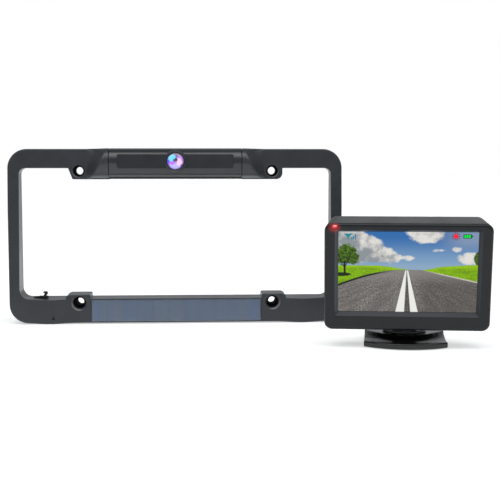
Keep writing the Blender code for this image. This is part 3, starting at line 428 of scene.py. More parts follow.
class Finish(Nodes):
    """A material made of nodes, with short names for those used here."""

    def __init__(self, name, **sockets):
        self.material = bpy.data.materials.new(name)
        self.material.use_nodes = True
        super().__init__(self.material.node_tree)
        self.shader = self.nodes["Principled BSDF"]
        self.local = self.node("ShaderNodeTexCoord").outputs["Object"]
        self.set(**sockets)

    def set(self, **sockets):
        for name, value in sockets.items():
            self.put(value, self.shader.inputs[name.replace("_", " ")])

    def add(self, *values):
        total = values[0]
        for value in values[1:]:
            total = self.math("ADD", total, value)
        return total

    def times(self, *values):
        total = values[0]
        for value in values[1:]:
            total = self.math("MULTIPLY", total, value)
        return total

    def minus(self, a, b):
        return self.math("SUBTRACT", a, b)

    def ramp(self, value, start, end, low=0.0, high=1.0, smooth=True):
        """Goes from low to high as value goes from start to end."""
        made = self.node("ShaderNodeMapRange", clamp=True)
        made.interpolation_type = "SMOOTHSTEP" if smooth else "LINEAR"
        for number, socket in zip((value, start, end, low, high), made.inputs):
            self.put(number, socket)
        return made.outputs[0]

    def mix(self, share, a, b):
        made = self.node("ShaderNodeMix", data_type="RGBA")
        for value, socket in ((share, made.inputs[0]), (a, made.inputs[6]), (b, made.inputs[7])):
            self.put(value, socket)
        return made.outputs[2]

    def noise(self, scale, detail=2.0, roughness=0.5, vector=None, stretch=None):
        vector = self.local if vector is None else vector
        if stretch:
            mapping = self.node("ShaderNodeMapping")
            mapping.inputs["Scale"].default_value = stretch
            self.put(vector, mapping.inputs["Vector"])
            vector = mapping.outputs[0]
        made = self.node("ShaderNodeTexNoise")
        self.put(vector, made.inputs["Vector"])
        made.inputs["Scale"].default_value = scale
        made.inputs["Detail"].default_value = detail
        made.inputs["Roughness"].default_value = roughness
        return made.outputs["Fac"]

    def axes(self, vector=None):
        made = self.node("ShaderNodeSeparateXYZ")
        self.put(self.local if vector is None else vector, made.inputs[0])
        return made.outputs[0], made.outputs[1], made.outputs[2]

    def bump(self, height, distance, strength=1.0):
        made = self.node("ShaderNodeBump")
        made.inputs["Strength"].default_value = strength
        made.inputs["Distance"].default_value = distance
        self.put(height, made.inputs["Height"])
        self.put(made.outputs[0], self.shader.inputs["Normal"])

    def source(self, socket):
        """What feeds one of the shader's sockets so far."""
        return self.shader.inputs[socket].links[0].from_socket

    def distance(self, a, b):
        return self.math("SQRT", self.add(self.times(a, a), self.times(b, b)))

    def blot(self, x, y, centre, radii):
        """1 at a centre, falling to 0 at an ellipse of these radii."""
        across = self.times(self.minus(x, centre[0]), 1 / radii[0])
        up = self.times(self.minus(y, centre[1]), 1 / radii[1])
        far = self.add(self.times(across, across), self.times(up, up))
        return self.math("SUBTRACT", 1.0, far, clamp=True)

    def inside(self, value, low, high, soft):
        """1 where value lies between low and high, with soft edges."""
        above = self.ramp(value, low - soft, low + soft, smooth=False)
        below = self.ramp(value, high - soft, high + soft, 1.0, 0.0, smooth=False)
        return self.times(above, below)


def moulded(name, colour, roughness, grain=0.00002, scale=2600.0, spread=0.12, **sockets):
    """Moulded plastic: a fine spark-eroded grain, soft blotches and faint rubbed patches."""
    made = Finish(name, **sockets)
    blotch = made.noise(60.0, 3.0)
    lighter = tuple(min(1.0, c * (1 + spread)) for c in colour)
    darker = tuple(c * (1 - spread) for c in colour)
    made.set(Base_Color=made.mix(made.ramp(blotch, 0.3, 0.7), darker, lighter))
    fine = made.noise(scale, 2.0, 0.6)
    rubbed = made.noise(25.0, 4.0, 0.6)
    rough = made.add(made.ramp(rubbed, 0.35, 0.7, roughness - 0.035, roughness + 0.035),
                     made.ramp(fine, 0.3, 0.7, -0.02, 0.02))
    made.set(Roughness=rough)
    made.bump(fine, grain, 0.6)
    return made


def metal(name, colour, roughness, scratch=900.0):
    """Plated steel, with fine turning marks."""
    made = Finish(name, Metallic=1.0)
    streaks = made.noise(scratch, 3.0, 0.6, stretch=(1.0, 1.0, 6.0))
    made.set(Base_Color=made.mix(streaks, tuple(c * 0.85 for c in colour), colour),
             Roughness=made.ramp(streaks, 0.3, 0.7, roughness - 0.06, roughness + 0.08))
    made.bump(streaks, 0.00001, 0.3)
    return made


def circuit_board():
    """Green board with copper tracks under the mask."""
    made = Finish("circuit_board", Roughness=0.45)
    tracks = made.node("ShaderNodeTexBrick")
    made.put(made.local, tracks.inputs["Vector"])
    tracks.inputs["Scale"].default_value = 260.0
    tracks.inputs["Mortar Size"].default_value = 0.03
    tracks.inputs["Color1"].default_value = (0.012, 0.07, 0.03, 1)
    tracks.inputs["Color2"].default_value = (0.016, 0.09, 0.04, 1)
    tracks.inputs["Mortar"].default_value = (0.05, 0.16, 0.06, 1)
    made.set(Base_Color=tracks.outputs["Color"])
    made.bump(made.noise(1500.0), 0.00002, 0.4)
    return made


def foam():
    made = Finish("foam", Roughness=0.95)
    cells = made.node("ShaderNodeTexVoronoi")
    made.put(made.local, cells.inputs["Vector"])
    cells.inputs["Scale"].default_value = 1800.0
    made.set(Base_Color=made.mix(cells.outputs["Distance"], (0.34, 0.34, 0.35), (0.2, 0.2, 0.21)))
    made.bump(cells.outputs["Distance"], 0.0001, 0.6)
    return made


CHARCOAL = moulded("charcoal_plastic", (0.0205, 0.0235, 0.029), 0.42, Coat_Weight=0.2,
                   Coat_Roughness=0.13)
BAR_PLASTIC = moulded("bar_plastic", (0.0195, 0.0218, 0.0260), 0.4, Coat_Weight=0.6,
                      Coat_Roughness=0.12)
BLACK = moulded("black_plastic", (0.0195, 0.02, 0.0215), 0.4, spread=0.1)
SATIN = moulded("satin_black", (0.004, 0.004, 0.0045), 0.24, grain=0.000006, scale=3500.0,
                Coat_Weight=0.2, Coat_Roughness=0.08, Specular_IOR_Level=0.4)
RUBBER = moulded("black_rubber", (0.008, 0.008, 0.008), 0.7, grain=0.00003, scale=1800.0)
RING_BLACK = moulded("lens_black", (0.004, 0.004, 0.005), 0.22, grain=0.000004)
STEEL = metal("plated_steel", (0.55, 0.55, 0.56), 0.3)
BOARD = circuit_board()
FOAM = foam()
BATTERY = moulded("battery_wrap", (0.03, 0.08, 0.2), 0.35, grain=0.000005, scale=700.0)


# ---------------------------------------------------------------- plate frame

def frame_depth(z):
    return FRAME_DEPTH_LOW + (FRAME_DEPTH_TOP - FRAME_DEPTH_LOW) * z / FRAME_TOP


def face_loops(corners, depths):
    """Corners (x, z) at each of some depths behind the frame's sloping front face."""
    return [[(x, depth - frame_depth(z), z) for x, z in corners] for depth in depths]


def corners_of(half_width, low, high):
    return ((-half_width, low), (half_width, low), (half_width, high), (-half_width, high))


def foot(x):
    """1 over the middle of a foot of the bottom rail, and 0 far from both."""
    return exp(-((abs(x) - FOOT_X) / FOOT_SPREAD) ** 2)


def frame_outline():
    corner = FRAME_CORNER
    outline = rounded([(-FRAME_HALF_WIDTH_LOW, FOOT_DROP, corner),
                       (FRAME_HALF_WIDTH_LOW, FOOT_DROP, corner),
                       (FRAME_HALF_WIDTH, FRAME_TOP * 0.65, 0.0),
                       (FRAME_HALF_WIDTH, FRAME_TOP, corner),
                       (-FRAME_HALF_WIDTH, FRAME_TOP, corner),
                       (-FRAME_HALF_WIDTH, FRAME_TOP * 0.65, 0.0)], 14)
    outline = divided(outline, 0.003)
    for point in outline:
        if point.y < FOOT_DROP * 1.5:
            point.y -= FOOT_DROP * foot(point.x)
    return outline


def window_outline():
    low = [(-WINDOW_HALF_WIDTH, WINDOW_LOW, 0.0085), (-BOSS_OUTER, WINDOW_LOW, 0.0007),
           (-BOSS_OUTER, BOSS_TOP - 0.0013, 0.0011), (-BOSS_OUTER + 0.0028, BOSS_TOP, 0.0011),
           (-BOSS_INNER, BOSS_TOP, 0.0011), (-BOSS_INNER, WINDOW_LOW, 0.0007)]
    top = [(-TAB_HALF_WIDTH + TAB_SLANT, TAB_LOW, TAB_CORNER / 4),
           (-TAB_HALF_WIDTH, WINDOW_TOP, 0.0008), (-WINDOW_HALF_WIDTH, WINDOW_TOP, 0.0055)]
    low_right = [(-x, z, radius) for x, z, radius in reversed(low)]
    top_right = [(WINDOW_HALF_WIDTH, WINDOW_TOP, 0.0055), (TAB_HALF_WIDTH, WINDOW_TOP, 0.0008),
                 (TAB_HALF_WIDTH, TAB_LOW, TAB_CORNER)]
    return divided(rounded(low + low_right + top_right + top, 6), 0.004)


def cover_side(outline, way, chamfer=0.00025):
    """Loops from the back face to the front face of the flat back cover."""
    front = -COVER_THICKNESS
    return [[(p.x, 0.0, p.y) for p in inset(outline, way * chamfer * 2)],
            [(p.x, -chamfer * 2, p.y) for p in outline],
            [(p.x, front + chamfer, p.y) for p in outline],
            [(p.x, front, p.y) for p in inset(outline, way * chamfer)]]


def shell_side(outline, way, edge, dip=0.0):
    """Loops from the back rim of the front shell, round its front edge, to its front face."""
    back = -COVER_THICKNESS - GAP
    chamfer = 0.00025
    loops = [[(p.x, back, p.y) for p in inset(outline, way * chamfer)],
             [(p.x, back - chamfer, p.y) for p in outline]]
    for into, short in arc(edge, 6):
        loop = []
        for p in inset(outline, way * into):
            z = p.y
            if dip and z < BOSS_TOP:
                z -= dip * foot(p.x)
            loop.append((p.x, short - frame_depth(z), z))
        loops.append(loop)
    return loops


def knuckle(side):
    """The flared end of the top rail that meets the round camera bar."""
    count = 40
    stations = [-0.001, 0.0, 0.0015, 0.003, 0.0045, 0.006, 0.0075, 0.009, 0.0105, 0.012,
                0.0135, 0.015, 0.0165, 0.018, 0.0195, 0.0207, 0.0214]
    loops = []
    for s in stations:
        loop = [(side * (KNUCKLE_START + s), -COVER_THICKNESS - GAP - 0.0003, TAB_LOW + 0.002)]
        for i in range(count + 1):
            turn = pi * (i / count - 0.5)
            height = sin(turn)
            round_y = BAR_Y - BAR_RADIUS * cos(turn)
            round_z = BAR_Z + BAR_RADIUS * height
            flat_z = TAB_LOW + (FRAME_TOP - TAB_LOW) * (height + 1) / 2
            into = (1 - abs(height)) * (FRAME_TOP - TAB_LOW) / 2
            edge = FRAME_EDGE if height > 0 else WINDOW_EDGE
            edge += 0.0004
            drop = edge - sqrt(max(0.0, edge ** 2 - max(0.0, edge - into) ** 2))
            flat_y = 0.0002 + drop - frame_depth(flat_z)
            start = 0.0032 + 0.0118 * ((1 - height) / 2) ** 1.4
            share = min(1.0, max(0.0, (s - start) / (0.0214 - start)))
            round_share = (1 - share) ** 1.15
            loop.append((side * (KNUCKLE_START + s),
                         flat_y + (round_y - flat_y) * round_share,
                         flat_z + (round_z - flat_z) * round_share))
        top = loop[-1]
        loop.append((top[0], -COVER_THICKNESS - GAP - 0.0003, FRAME_TOP - 0.002))
        loops.append(loop)
    return lofted(f"knuckle_{side}", loops)


def hollow_tools():
    """What the inside of the front shell is cut with."""
    wall = FRAME_WALL
    outer = rectangle(FRAME_HALF_WIDTH_LOW - wall, FOOT_DROP + wall, FRAME_TOP - wall,
                      FRAME_CORNER - wall)
    back = 0.001
    loops = [[(p.x, back, p.y) for p in outer],
             [(p.x, wall - frame_depth(p.y), p.y) for p in outer]]
    hollow = lofted("frame_hollow", loops)
    window = slab("hollow_window", rectangle(WINDOW_HALF_WIDTH + wall, WINDOW_LOW - wall,
                                             WINDOW_TOP + wall, 0.006), -0.05, 0.05)
    middle = box("hollow_middle", (-KNUCKLE_END - 0.001, -0.05, 0.12),
                 (KNUCKLE_END + 0.001, 0.01, 0.17))
    keep = [window, middle]
    depth = 0.0016 + PANEL_RECESS
    keep.append(lofted("panel_wall", face_loops(corners_of(PANEL_HALF_WIDTH + 0.0025, 0.0, 0.03),
                                                (-0.001, depth))))
    for side in (-1, 1):
        keep.append(box("bolt_column", (side * BOLT_X - BOLT_COLUMN, -0.05, 0.0125),
                        (side * BOLT_X + BOLT_COLUMN, 0.01, 0.03)))
        keep.append(box("bolt_tab", (side * BOLT_X - BOLT_COLUMN, -0.05, 0.13),
                        (side * BOLT_X + BOLT_COLUMN, 0.01, 0.1472)))
    for x, z in COVER_SCREWS:
        keep.append(rod("post", (x, -0.05, z), (x, 0.01, z), 0.003))
    return carve(hollow, *keep)


def paint_bore_shade_and_highlight():
    """Painted shade: black inside the bolt holes of the charcoal pieces, and their seats; painted
    highlight: a light crescent on the lower outer part of each rim chamfer.
    """
    x, _, z = CHARCOAL.axes()
    across = CHARCOAL.minus(CHARCOAL.math("ABSOLUTE", x), BOLT_X)
    inside, lit = 0.0, 0.0
    for height, seat, _, chamfer, _ in BOLTS:
        up = CHARCOAL.minus(z, height)
        far = CHARCOAL.distance(across, up)
        inside = CHARCOAL.math("MAXIMUM", inside,
                               CHARCOAL.ramp(far, seat + 0.0001, seat - 0.0001))
        # Mask of the painted highlight: the lower outer part of each bore's rim chamfer.
        ring = CHARCOAL.inside(far, seat + 0.0001, seat + chamfer + 0.0002, 0.0001)
        side = CHARCOAL.minus(CHARCOAL.times(across, 0.64), CHARCOAL.times(up, 0.77))
        lit = CHARCOAL.math("MAXIMUM", lit,
                            CHARCOAL.times(ring, CHARCOAL.ramp(side, 0.0022, 0.006)))
    plain = CHARCOAL.source("Base Color")
    rough = CHARCOAL.source("Roughness")
    # Painted highlight: the chamfer crescent is coloured light grey.
    wear_and_painted_highlight = CHARCOAL.mix(CHARCOAL.times(lit, 0.9), plain, (0.13, 0.13, 0.135))
    # Painted shade: the bores and their seats are coloured near black, rougher and without coat.
    CHARCOAL.set(Base_Color=CHARCOAL.mix(inside, wear_and_painted_highlight, (0.0008, 0.0008, 0.001)),
                 Roughness=CHARCOAL.add(rough, CHARCOAL.times(inside, 0.5)),
                 Coat_Weight=CHARCOAL.ramp(inside, 0.0, 1.0, 0.2, 0.0))


def frame_front():
    paint_bore_shade_and_highlight()
    shell = framed("frame_front", shell_side(frame_outline(), 1, FRAME_EDGE),
                   shell_side(window_outline(), -1, WINDOW_EDGE, dip=0.0009))
    slope = atan2(FRAME_DEPTH_LOW - FRAME_DEPTH_TOP, FRAME_TOP)
    tools = []
    for side in (-1, 1):
        for z, seat, depth, chamfer, sides in BOLTS:
            x = side * BOLT_X
            floor = depth - frame_depth(z)
            tools.append(turned("bolt_way", [(0.0, 0.04), (seat, 0.04), (seat, 0.0003),
                                             (seat - 0.0003, 0.0), (BOLT_HOLE, 0.0),
                                             (BOLT_HOLE, -0.05), (0.0, -0.05)],
                                "-Y", (x, floor, z), sides))
            rim = turned("bolt_rim", [(0.0, 0.002), (seat + chamfer + 0.002, 0.002),
                                      (seat + chamfer, 0.0),
                                      (seat + chamfer * 0.45, -chamfer * 0.3),
                                      (seat + chamfer * 0.1, -chamfer * 0.9),
                                      (seat - 0.0001, -chamfer * 1.5), (0.0, -chamfer * 1.5)],
                         "-Y", (0, 0, 0), sides)
            rim.data.transform(Matrix.Translation((x, -frame_depth(z), z))
                               @ Matrix.Rotation(-slope, 4, "X"))
            tools.append(rim)
    pocket = box("pocket", (-KNUCKLE_START, -0.05, 0.12), (KNUCKLE_START, 0.01, 0.17))
    tools += [hollow_tools(), ("UNION", knuckle(-1)), ("UNION", knuckle(1)), pocket]
    for side in (-1, 1):
        near, far = side * (KNUCKLE_START - 0.001), side * 0.072
        tools.append(rod("pivot_bore", (near, BAR_Y, BAR_Z), (far, BAR_Y, BAR_Z),
                         PIVOT_RADIUS + GAP))
        tools.append(rod("seal_seat", (near, BAR_Y, BAR_Z),
                         (side * (KNUCKLE_START + 0.0024), BAR_Y, BAR_Z), 0.0064))
    panel = corners_of(PANEL_HALF_WIDTH + GAP, PANEL_LOW - GAP, PANEL_TOP + GAP)
    tools.append(lofted("recess", face_loops(panel, (-0.003, PANEL_RECESS))))
    for x, z in COVER_SCREWS:
        tools.append(rod("pilot", (x, -0.011, z), (x, 0.01, z), 0.00155, 16))
    mouth = moved(rectangle(0.005, PORT_Y - 0.003, PORT_Y + 0.003, 0.0012, 5), PORT_X)
    tools.append(slab("port_mouth", mouth, 0.018, 0.03, axis="Z"))
    light_x, light_z = STATUS_LIGHT
    tools.append(rod("light_hole", (light_x, -0.03, light_z), (light_x, -0.015, light_z),
                     0.0012))
    carve(shell, *tools)
    piece(shell, "frame", FRAME, CHARCOAL.material, ["frame_front_shell"])


def frame_back():
    cover = framed("frame_back", cover_side(frame_outline(), 1),
                   cover_side(window_outline(), -1))
    tools = []
    for side in (-1, 1):
        for z, *_ in BOLTS:
            tools.append(turned("bolt_through", [
                (0.0, 0.01), (BOLT_HOLE + 0.0004, 0.01), (BOLT_HOLE + 0.0004, 0.0),
                (BOLT_HOLE, -0.0004), (BOLT_HOLE, -0.01), (0.0, -0.01)], "Y",
                (side * BOLT_X, 0, z), 48))
    for x, z in COVER_SCREWS:
        tools.append(turned("screw_way", [
            (0.0, 0.01), (0.0030, 0.01), (0.0030, 0.0), (0.0027, -0.0003), (0.0027, -0.0015),
            (0.00155, -0.0015), (0.00155, -0.01), (0.0, -0.01)], "Y", (x, 0, z), 32))
    carve(cover, *tools)
    piece(cover, "frame", FRAME, CHARCOAL.material, ["frame_back_cover"])


def screw(name, body, place, seat, head, shank, length, node):
    """A pan-head screw with a cross recess, its head towards +Y of its place."""
    height = head * 0.55
    profile = [(0.0, height)]
    profile += [(head * sin(turn), height * (0.35 + 0.65 * cos(turn)))
                for turn in (pi / 2 * i / 6 for i in range(1, 7))]
    profile += [(head, 0.0), (shank, 0.0)]
    pitch = shank * 0.45
    turns = int((length - shank) / pitch)
    for i in range(turns):
        profile += [(shank, -pitch * (i + 0.25)), (shank * 0.82, -pitch * (i + 0.6))]
    profile += [(shank * 0.8, -length + shank), (0.0, -length)]
    made = turned(name, profile, "Y", seat, 28)
    tools = []
    for turn in (pi / 4, 3 * pi / 4):
        slot = box("slot", (-head * 0.62, height * 0.35, -head * 0.13),
                   (head * 0.62, height * 2, head * 0.13))
        slot.data.transform(Matrix.Translation(seat) @ Matrix.Rotation(turn, 4, "Y"))
        tools.append(slot)
    carve(made, *tools)
    piece(made, body, place, STEEL.material, [node])


def solar_panel():
    """Cells with fine gaps between them, on a dark backing, under a clear laminate."""
    deep = PANEL_RECESS - GAP
    low, high = PANEL_LOW + 0.0004, PANEL_TOP - 0.0004
    wide = PANEL_HALF_WIDTH - 0.0004
    parts = [(-PANEL_HALF_WIDTH, PANEL_HALF_WIDTH, PANEL_LOW, PANEL_TOP, 0.0013, deep)]
    pitch = 2 * wide / CELL_COUNT
    for i in range(CELL_COUNT):
        start = -wide + pitch * i
        parts.append((start + 0.00015, start + pitch - 0.00015, low, high, 0.0011, 0.0014))
    bm = bmesh.new()
    for x0, x1, z0, z1, near, far in parts:
        loops = face_loops(((x0, z0), (x1, z0), (x1, z1), (x0, z1)), (near, far))
        rings = [[bm.verts.new(point) for point in loop] for loop in loops]
        join_rings(bm, rings)
        bm.faces.new(rings[0])
        bm.faces.new(rings[1])
    cells = new_object("solar_cell_array", bm)

    made = Finish("solar_cells", Roughness=0.38)
    x, _, z = made.axes()
    across = made.times(made.add(x, wide), 1 / pitch)
    cell = made.math("FLOOR", across)
    tone = made.node("ShaderNodeTexWhiteNoise", noise_dimensions="1D")
    made.put(made.add(cell, 3.7), tone.inputs["W"])
    within = made.math("FRACT", across)
    band = made.noise(160.0, 1.0, stretch=(1.0, 0.0, 0.0))
    shade = made.add(made.times(tone.outputs["Value"], 0.55),
                     made.ramp(band, 0.35, 0.65, 0.0, 0.45))
    colour = made.mix(shade, (0.185, 0.232, 0.295), (0.138, 0.21, 0.36))
    gap = made.add(made.ramp(within, 0.0, 0.06, 1.0, 0.0), made.ramp(within, 0.94, 1.0))
    colour = made.mix(made.times(gap, 0.6), colour, (0.105, 0.145, 0.17))
    fine = made.times(z, 2200.0)
    finger = made.ramp(made.math("FRACT", fine), 0.0, 0.25, 0.22, 0.0)
    colour = made.mix(finger, colour, (0.27, 0.31, 0.38))
    # Painted shade: a dark band along the top edge of the cells, under the recess's upper wall.
    rim = made.ramp(z, PANEL_TOP - 0.0007, PANEL_TOP - 0.0003)
    colour = made.mix(made.times(rim, 0.8), colour, (0.03, 0.035, 0.045))
    # Painted highlight: a light band along the bottom edge of the cells.
    rim = made.ramp(z, PANEL_LOW + 0.0012, PANEL_LOW + 0.0008)
    colour = made.mix(made.times(rim, 0.7), colour, (0.3, 0.34, 0.38))
    made.set(Base_Color=colour)
    made.bump(fine, 0.000002, 0.2)
    piece(cells, "frame", FRAME, made.material, ["solar_cells"])

    outline = [Vector(point) for point in corners_of(PANEL_HALF_WIDTH, PANEL_LOW, PANEL_TOP)]
    loops = [[(p.x, deep - frame_depth(p.y), p.y) for p in inset(outline, into)]
             for into, deep in ((0.0, 0.0008), (0.0, 0.0003), (0.00015, 0.0001),
                                (0.0004, 0.00002))]
    cover = lofted("solar_laminate", loops)
    clear = Finish("clear_laminate", Base_Color=(0.93, 0.96, 1.0), Transmission_Weight=1.0,
                   IOR=1.46)
    texture = clear.noise(1900.0, 2.0)
    clear.set(Roughness=clear.ramp(texture, 0.3, 0.7, 0.16, 0.26))
    clear.bump(texture, 0.00001, 0.3)
    piece(cover, "frame", FRAME, clear.material, ["solar_cover"])


def port_plug():
    """The rubber plug of the charging port: flange, stem and hooked pull tab."""
    thick = 0.0011
    flange = slab("port_cap", moved(rectangle(0.00675, -0.0032, 0.0032, 0.0016, 6), 0.00675),
                  0.0, 0.0004, 0.0001, 0.0002, axis="Z")
    raised = slab("port_cap_top", moved(rectangle(0.0043, -0.0030, 0.0030, 0.0012, 6), 0.0089),
                  0.0002, thick, 0.0, 0.0004, axis="Z")
    hook = rounded([(0.0086, 0.0006, 0.0), (0.0107, 0.0006, 0.0), (0.0127, 0.0030, 0.0009),
                    (0.0122, 0.0052, 0.0006), (0.0088, 0.0052, 0.0005), (0.0088, 0.0040, 0.0005),
                    (0.0104, 0.0040, 0.0004)], 4)
    tab = slab("plug_tab", hook, -0.0028, 0.0028, 0.0003, 0.0003)
    start = PORT_X - PLUG_HINGE_X - 0.0042
    stem = slab("plug_stem", moved(rectangle(0.004, -0.0024, 0.0024, 0.0011, 5), start + 0.004),
                -0.0020, 0.0004, 0.0003, 0.0, axis="Z")
    carve(flange, ("UNION", raised), ("UNION", tab), ("UNION", stem))
    piece(flange, "port_plug", PLUG, RUBBER.material, ["port_plug"])


def status_light():
    x, z = STATUS_LIGHT
    profile = [(0.0, 0.0035), (0.0004, 0.0034), (0.0007, 0.0030), (0.0009, 0.0024),
               (0.0009, 0.0), (0.0016, 0.0), (0.0016, -0.0012), (0.0, -0.0012)]
    lens = turned("status_lens", profile, "-Y", (x, -0.0222, z), 24)
    made = Finish("status_red", Roughness=0.3, Base_Color=(0.05, 0.03, 0.03))
    made.bump(made.noise(900.0), 0.00001, 0.2)
    piece(lens, "frame", FRAME, made.material, ["status_led"])


# ---------------------------------------------------------------- camera bar

def bar_profile(x, count=120):
    """The bar's round section at x, with the flat in its front where the flat reaches."""
    loop = []
    for i in range(count + 1):
        turn = pi * (i / count) - pi / 2
        y, z = -BAR_RADIUS * cos(turn), BAR_RADIUS * sin(turn)
        end = abs(x) - FLAT_HALF_LENGTH + 0.0016
        side = abs(z) - FLAT_HALF_HEIGHT + 0.0016
        if end > 0 and side > 0:
            out = hypot(end, side) - 0.0016
        else:
            out = max(end, side) - 0.0016
        share = min(1.0, max(0.0, out / 0.0016 + 0.4))
        share = share * share * (3 - 2 * share)
        flat = max(y, -FLAT_DISTANCE)
        loop.append((x, flat + (y - flat) * share, z))
    return loop


def bar_shell(side):
    """One half of the bar's casing. side -1 is the front one, which has the flat."""
    half = BAR_HALF_LENGTH
    edge = 0.0005
    ends = [(-half, edge), (-half + 0.00015, edge * 0.45), (-half + edge, 0.0)]
    steps = [-0.0585, -0.056, -0.0545, -0.0536, -0.0533, -0.0530, -0.05275, -0.0525, -0.05225,
             -0.0520, -0.0517, -0.0513, -0.0508, -0.0500, -0.047, -0.040, -0.030, -0.020, -0.012]
    stations = ends + [(x, 0.0) for x in steps] + [(0.0, 0.0)]
    stations += [(-x, less) for x, less in reversed(stations[:-1])]
    loops = []
    for x, less in stations:
        if side < 0:
            loop = bar_profile(x)
        else:
            loop = [(x, BAR_RADIUS * cos(turn), BAR_RADIUS * sin(turn))
                    for turn in (pi * (i / 96) - pi / 2 for i in range(97))]
        shrink = 1 - less / BAR_RADIUS
        loop = [(x, y * shrink - GAP / 2 * (side < 0), z * shrink) for x, y, z in loop]
        loops.append(loop)
    name = "bar_front" if side < 0 else "bar_rear"
    shell = lofted(name, loops)
    hollow = rod("bar_hollow", (-half + 0.0024, 0, 0), (half - 0.0024, 0, 0), 0.0106, 48)
    tools = [hollow]
    for end in (-1, 1):
        tools.append(rod("bar_bore", (end * 0.05, 0, 0), (end * 0.07, 0, 0),
                         PIVOT_RADIUS + GAP))
    carve(shell, *tools)
    return shell


def camera_bar():
    _, _, z = BAR_PLASTIC.axes()
    plain = BAR_PLASTIC.source("Base Color")
    rough = BAR_PLASTIC.source("Roughness")
    # Painted shade: a black, rough strip without coat along the bar's underside.
    painted_shade = BAR_PLASTIC.ramp(z, PAINTED_SHADE_LINE, PAINTED_SHADE_LINE - 0.00015)
    BAR_PLASTIC.set(Base_Color=BAR_PLASTIC.mix(painted_shade, plain, (0.001, 0.001, 0.001)),
                    Roughness=BAR_PLASTIC.add(rough, BAR_PLASTIC.times(painted_shade, 0.5)),
                    Specular_IOR_Level=0.28,
                    Coat_Weight=BAR_PLASTIC.ramp(painted_shade, 0.0, 1.0, 0.6, 0.0))
    finish = BAR_PLASTIC.material
    front = bar_shell(-1)
    boss = turned("lens_boss", [(0.0, -0.0008), (0.0106, -0.0008), (0.0102, 0.0), (0.0097, 0.0004),
                                (0.0095, 0.0010), (0.00945, 0.0018), (0.0093, 0.0021),
                                (0.0090, 0.00225), (0.0084, 0.00225), (0.0081, 0.0020),
                                (0.0078, 0.0016), (0.0, 0.0016)], "-Y", (0, -FLAT_DISTANCE, 0), 72)
    bore = rod("lens_bore", (0, -0.02, 0), (0, -0.005, 0), LENS_RADIUS + GAP, 72)
    carve(front, ("UNION", boss), bore)
    tools = []
    for end in (-1, 1):
        x = end * 0.045
        tools += [("UNION", rod("bar_post", (x, -0.0112, 0), (x, -GAP / 2, 0), 0.0028)),
                  rod("bar_pilot", (x, -0.0085, 0), (x, 0.01, 0), 0.0013, 16)]
    carve(front, *tools)
    piece(front, "camera_bar", BAR, finish, ["bar_front_shell"],
          sharp=40)
    rear = bar_shell(1)
    tools = []
    for end in (-1, 1):
        x = end * 0.045
        tools += [("UNION", rod("bar_sleeve", (x, GAP / 2, 0), (x, 0.0125, 0), 0.0036)),
                  turned("bar_seat", [(0.0, 0.01), (0.0027, 0.01), (0.0023, 0.0044), (0.0023, 0.0),
                                      (0.0013, 0.0), (0.0013, -0.02), (0.0, -0.02)], "Y",
                         (x, 0.0085, 0), 32)]
    carve(rear, *tools)
    piece(rear, "camera_bar", BAR, finish, ["bar_rear_shell"])
    for end, name in SIDES:
        screw("bar_fixing_" + name, "camera_bar", BAR, (end * 0.045, 0.0088, 0), 0.002, 0.001,
              0.014, "bar_screw_" + name)


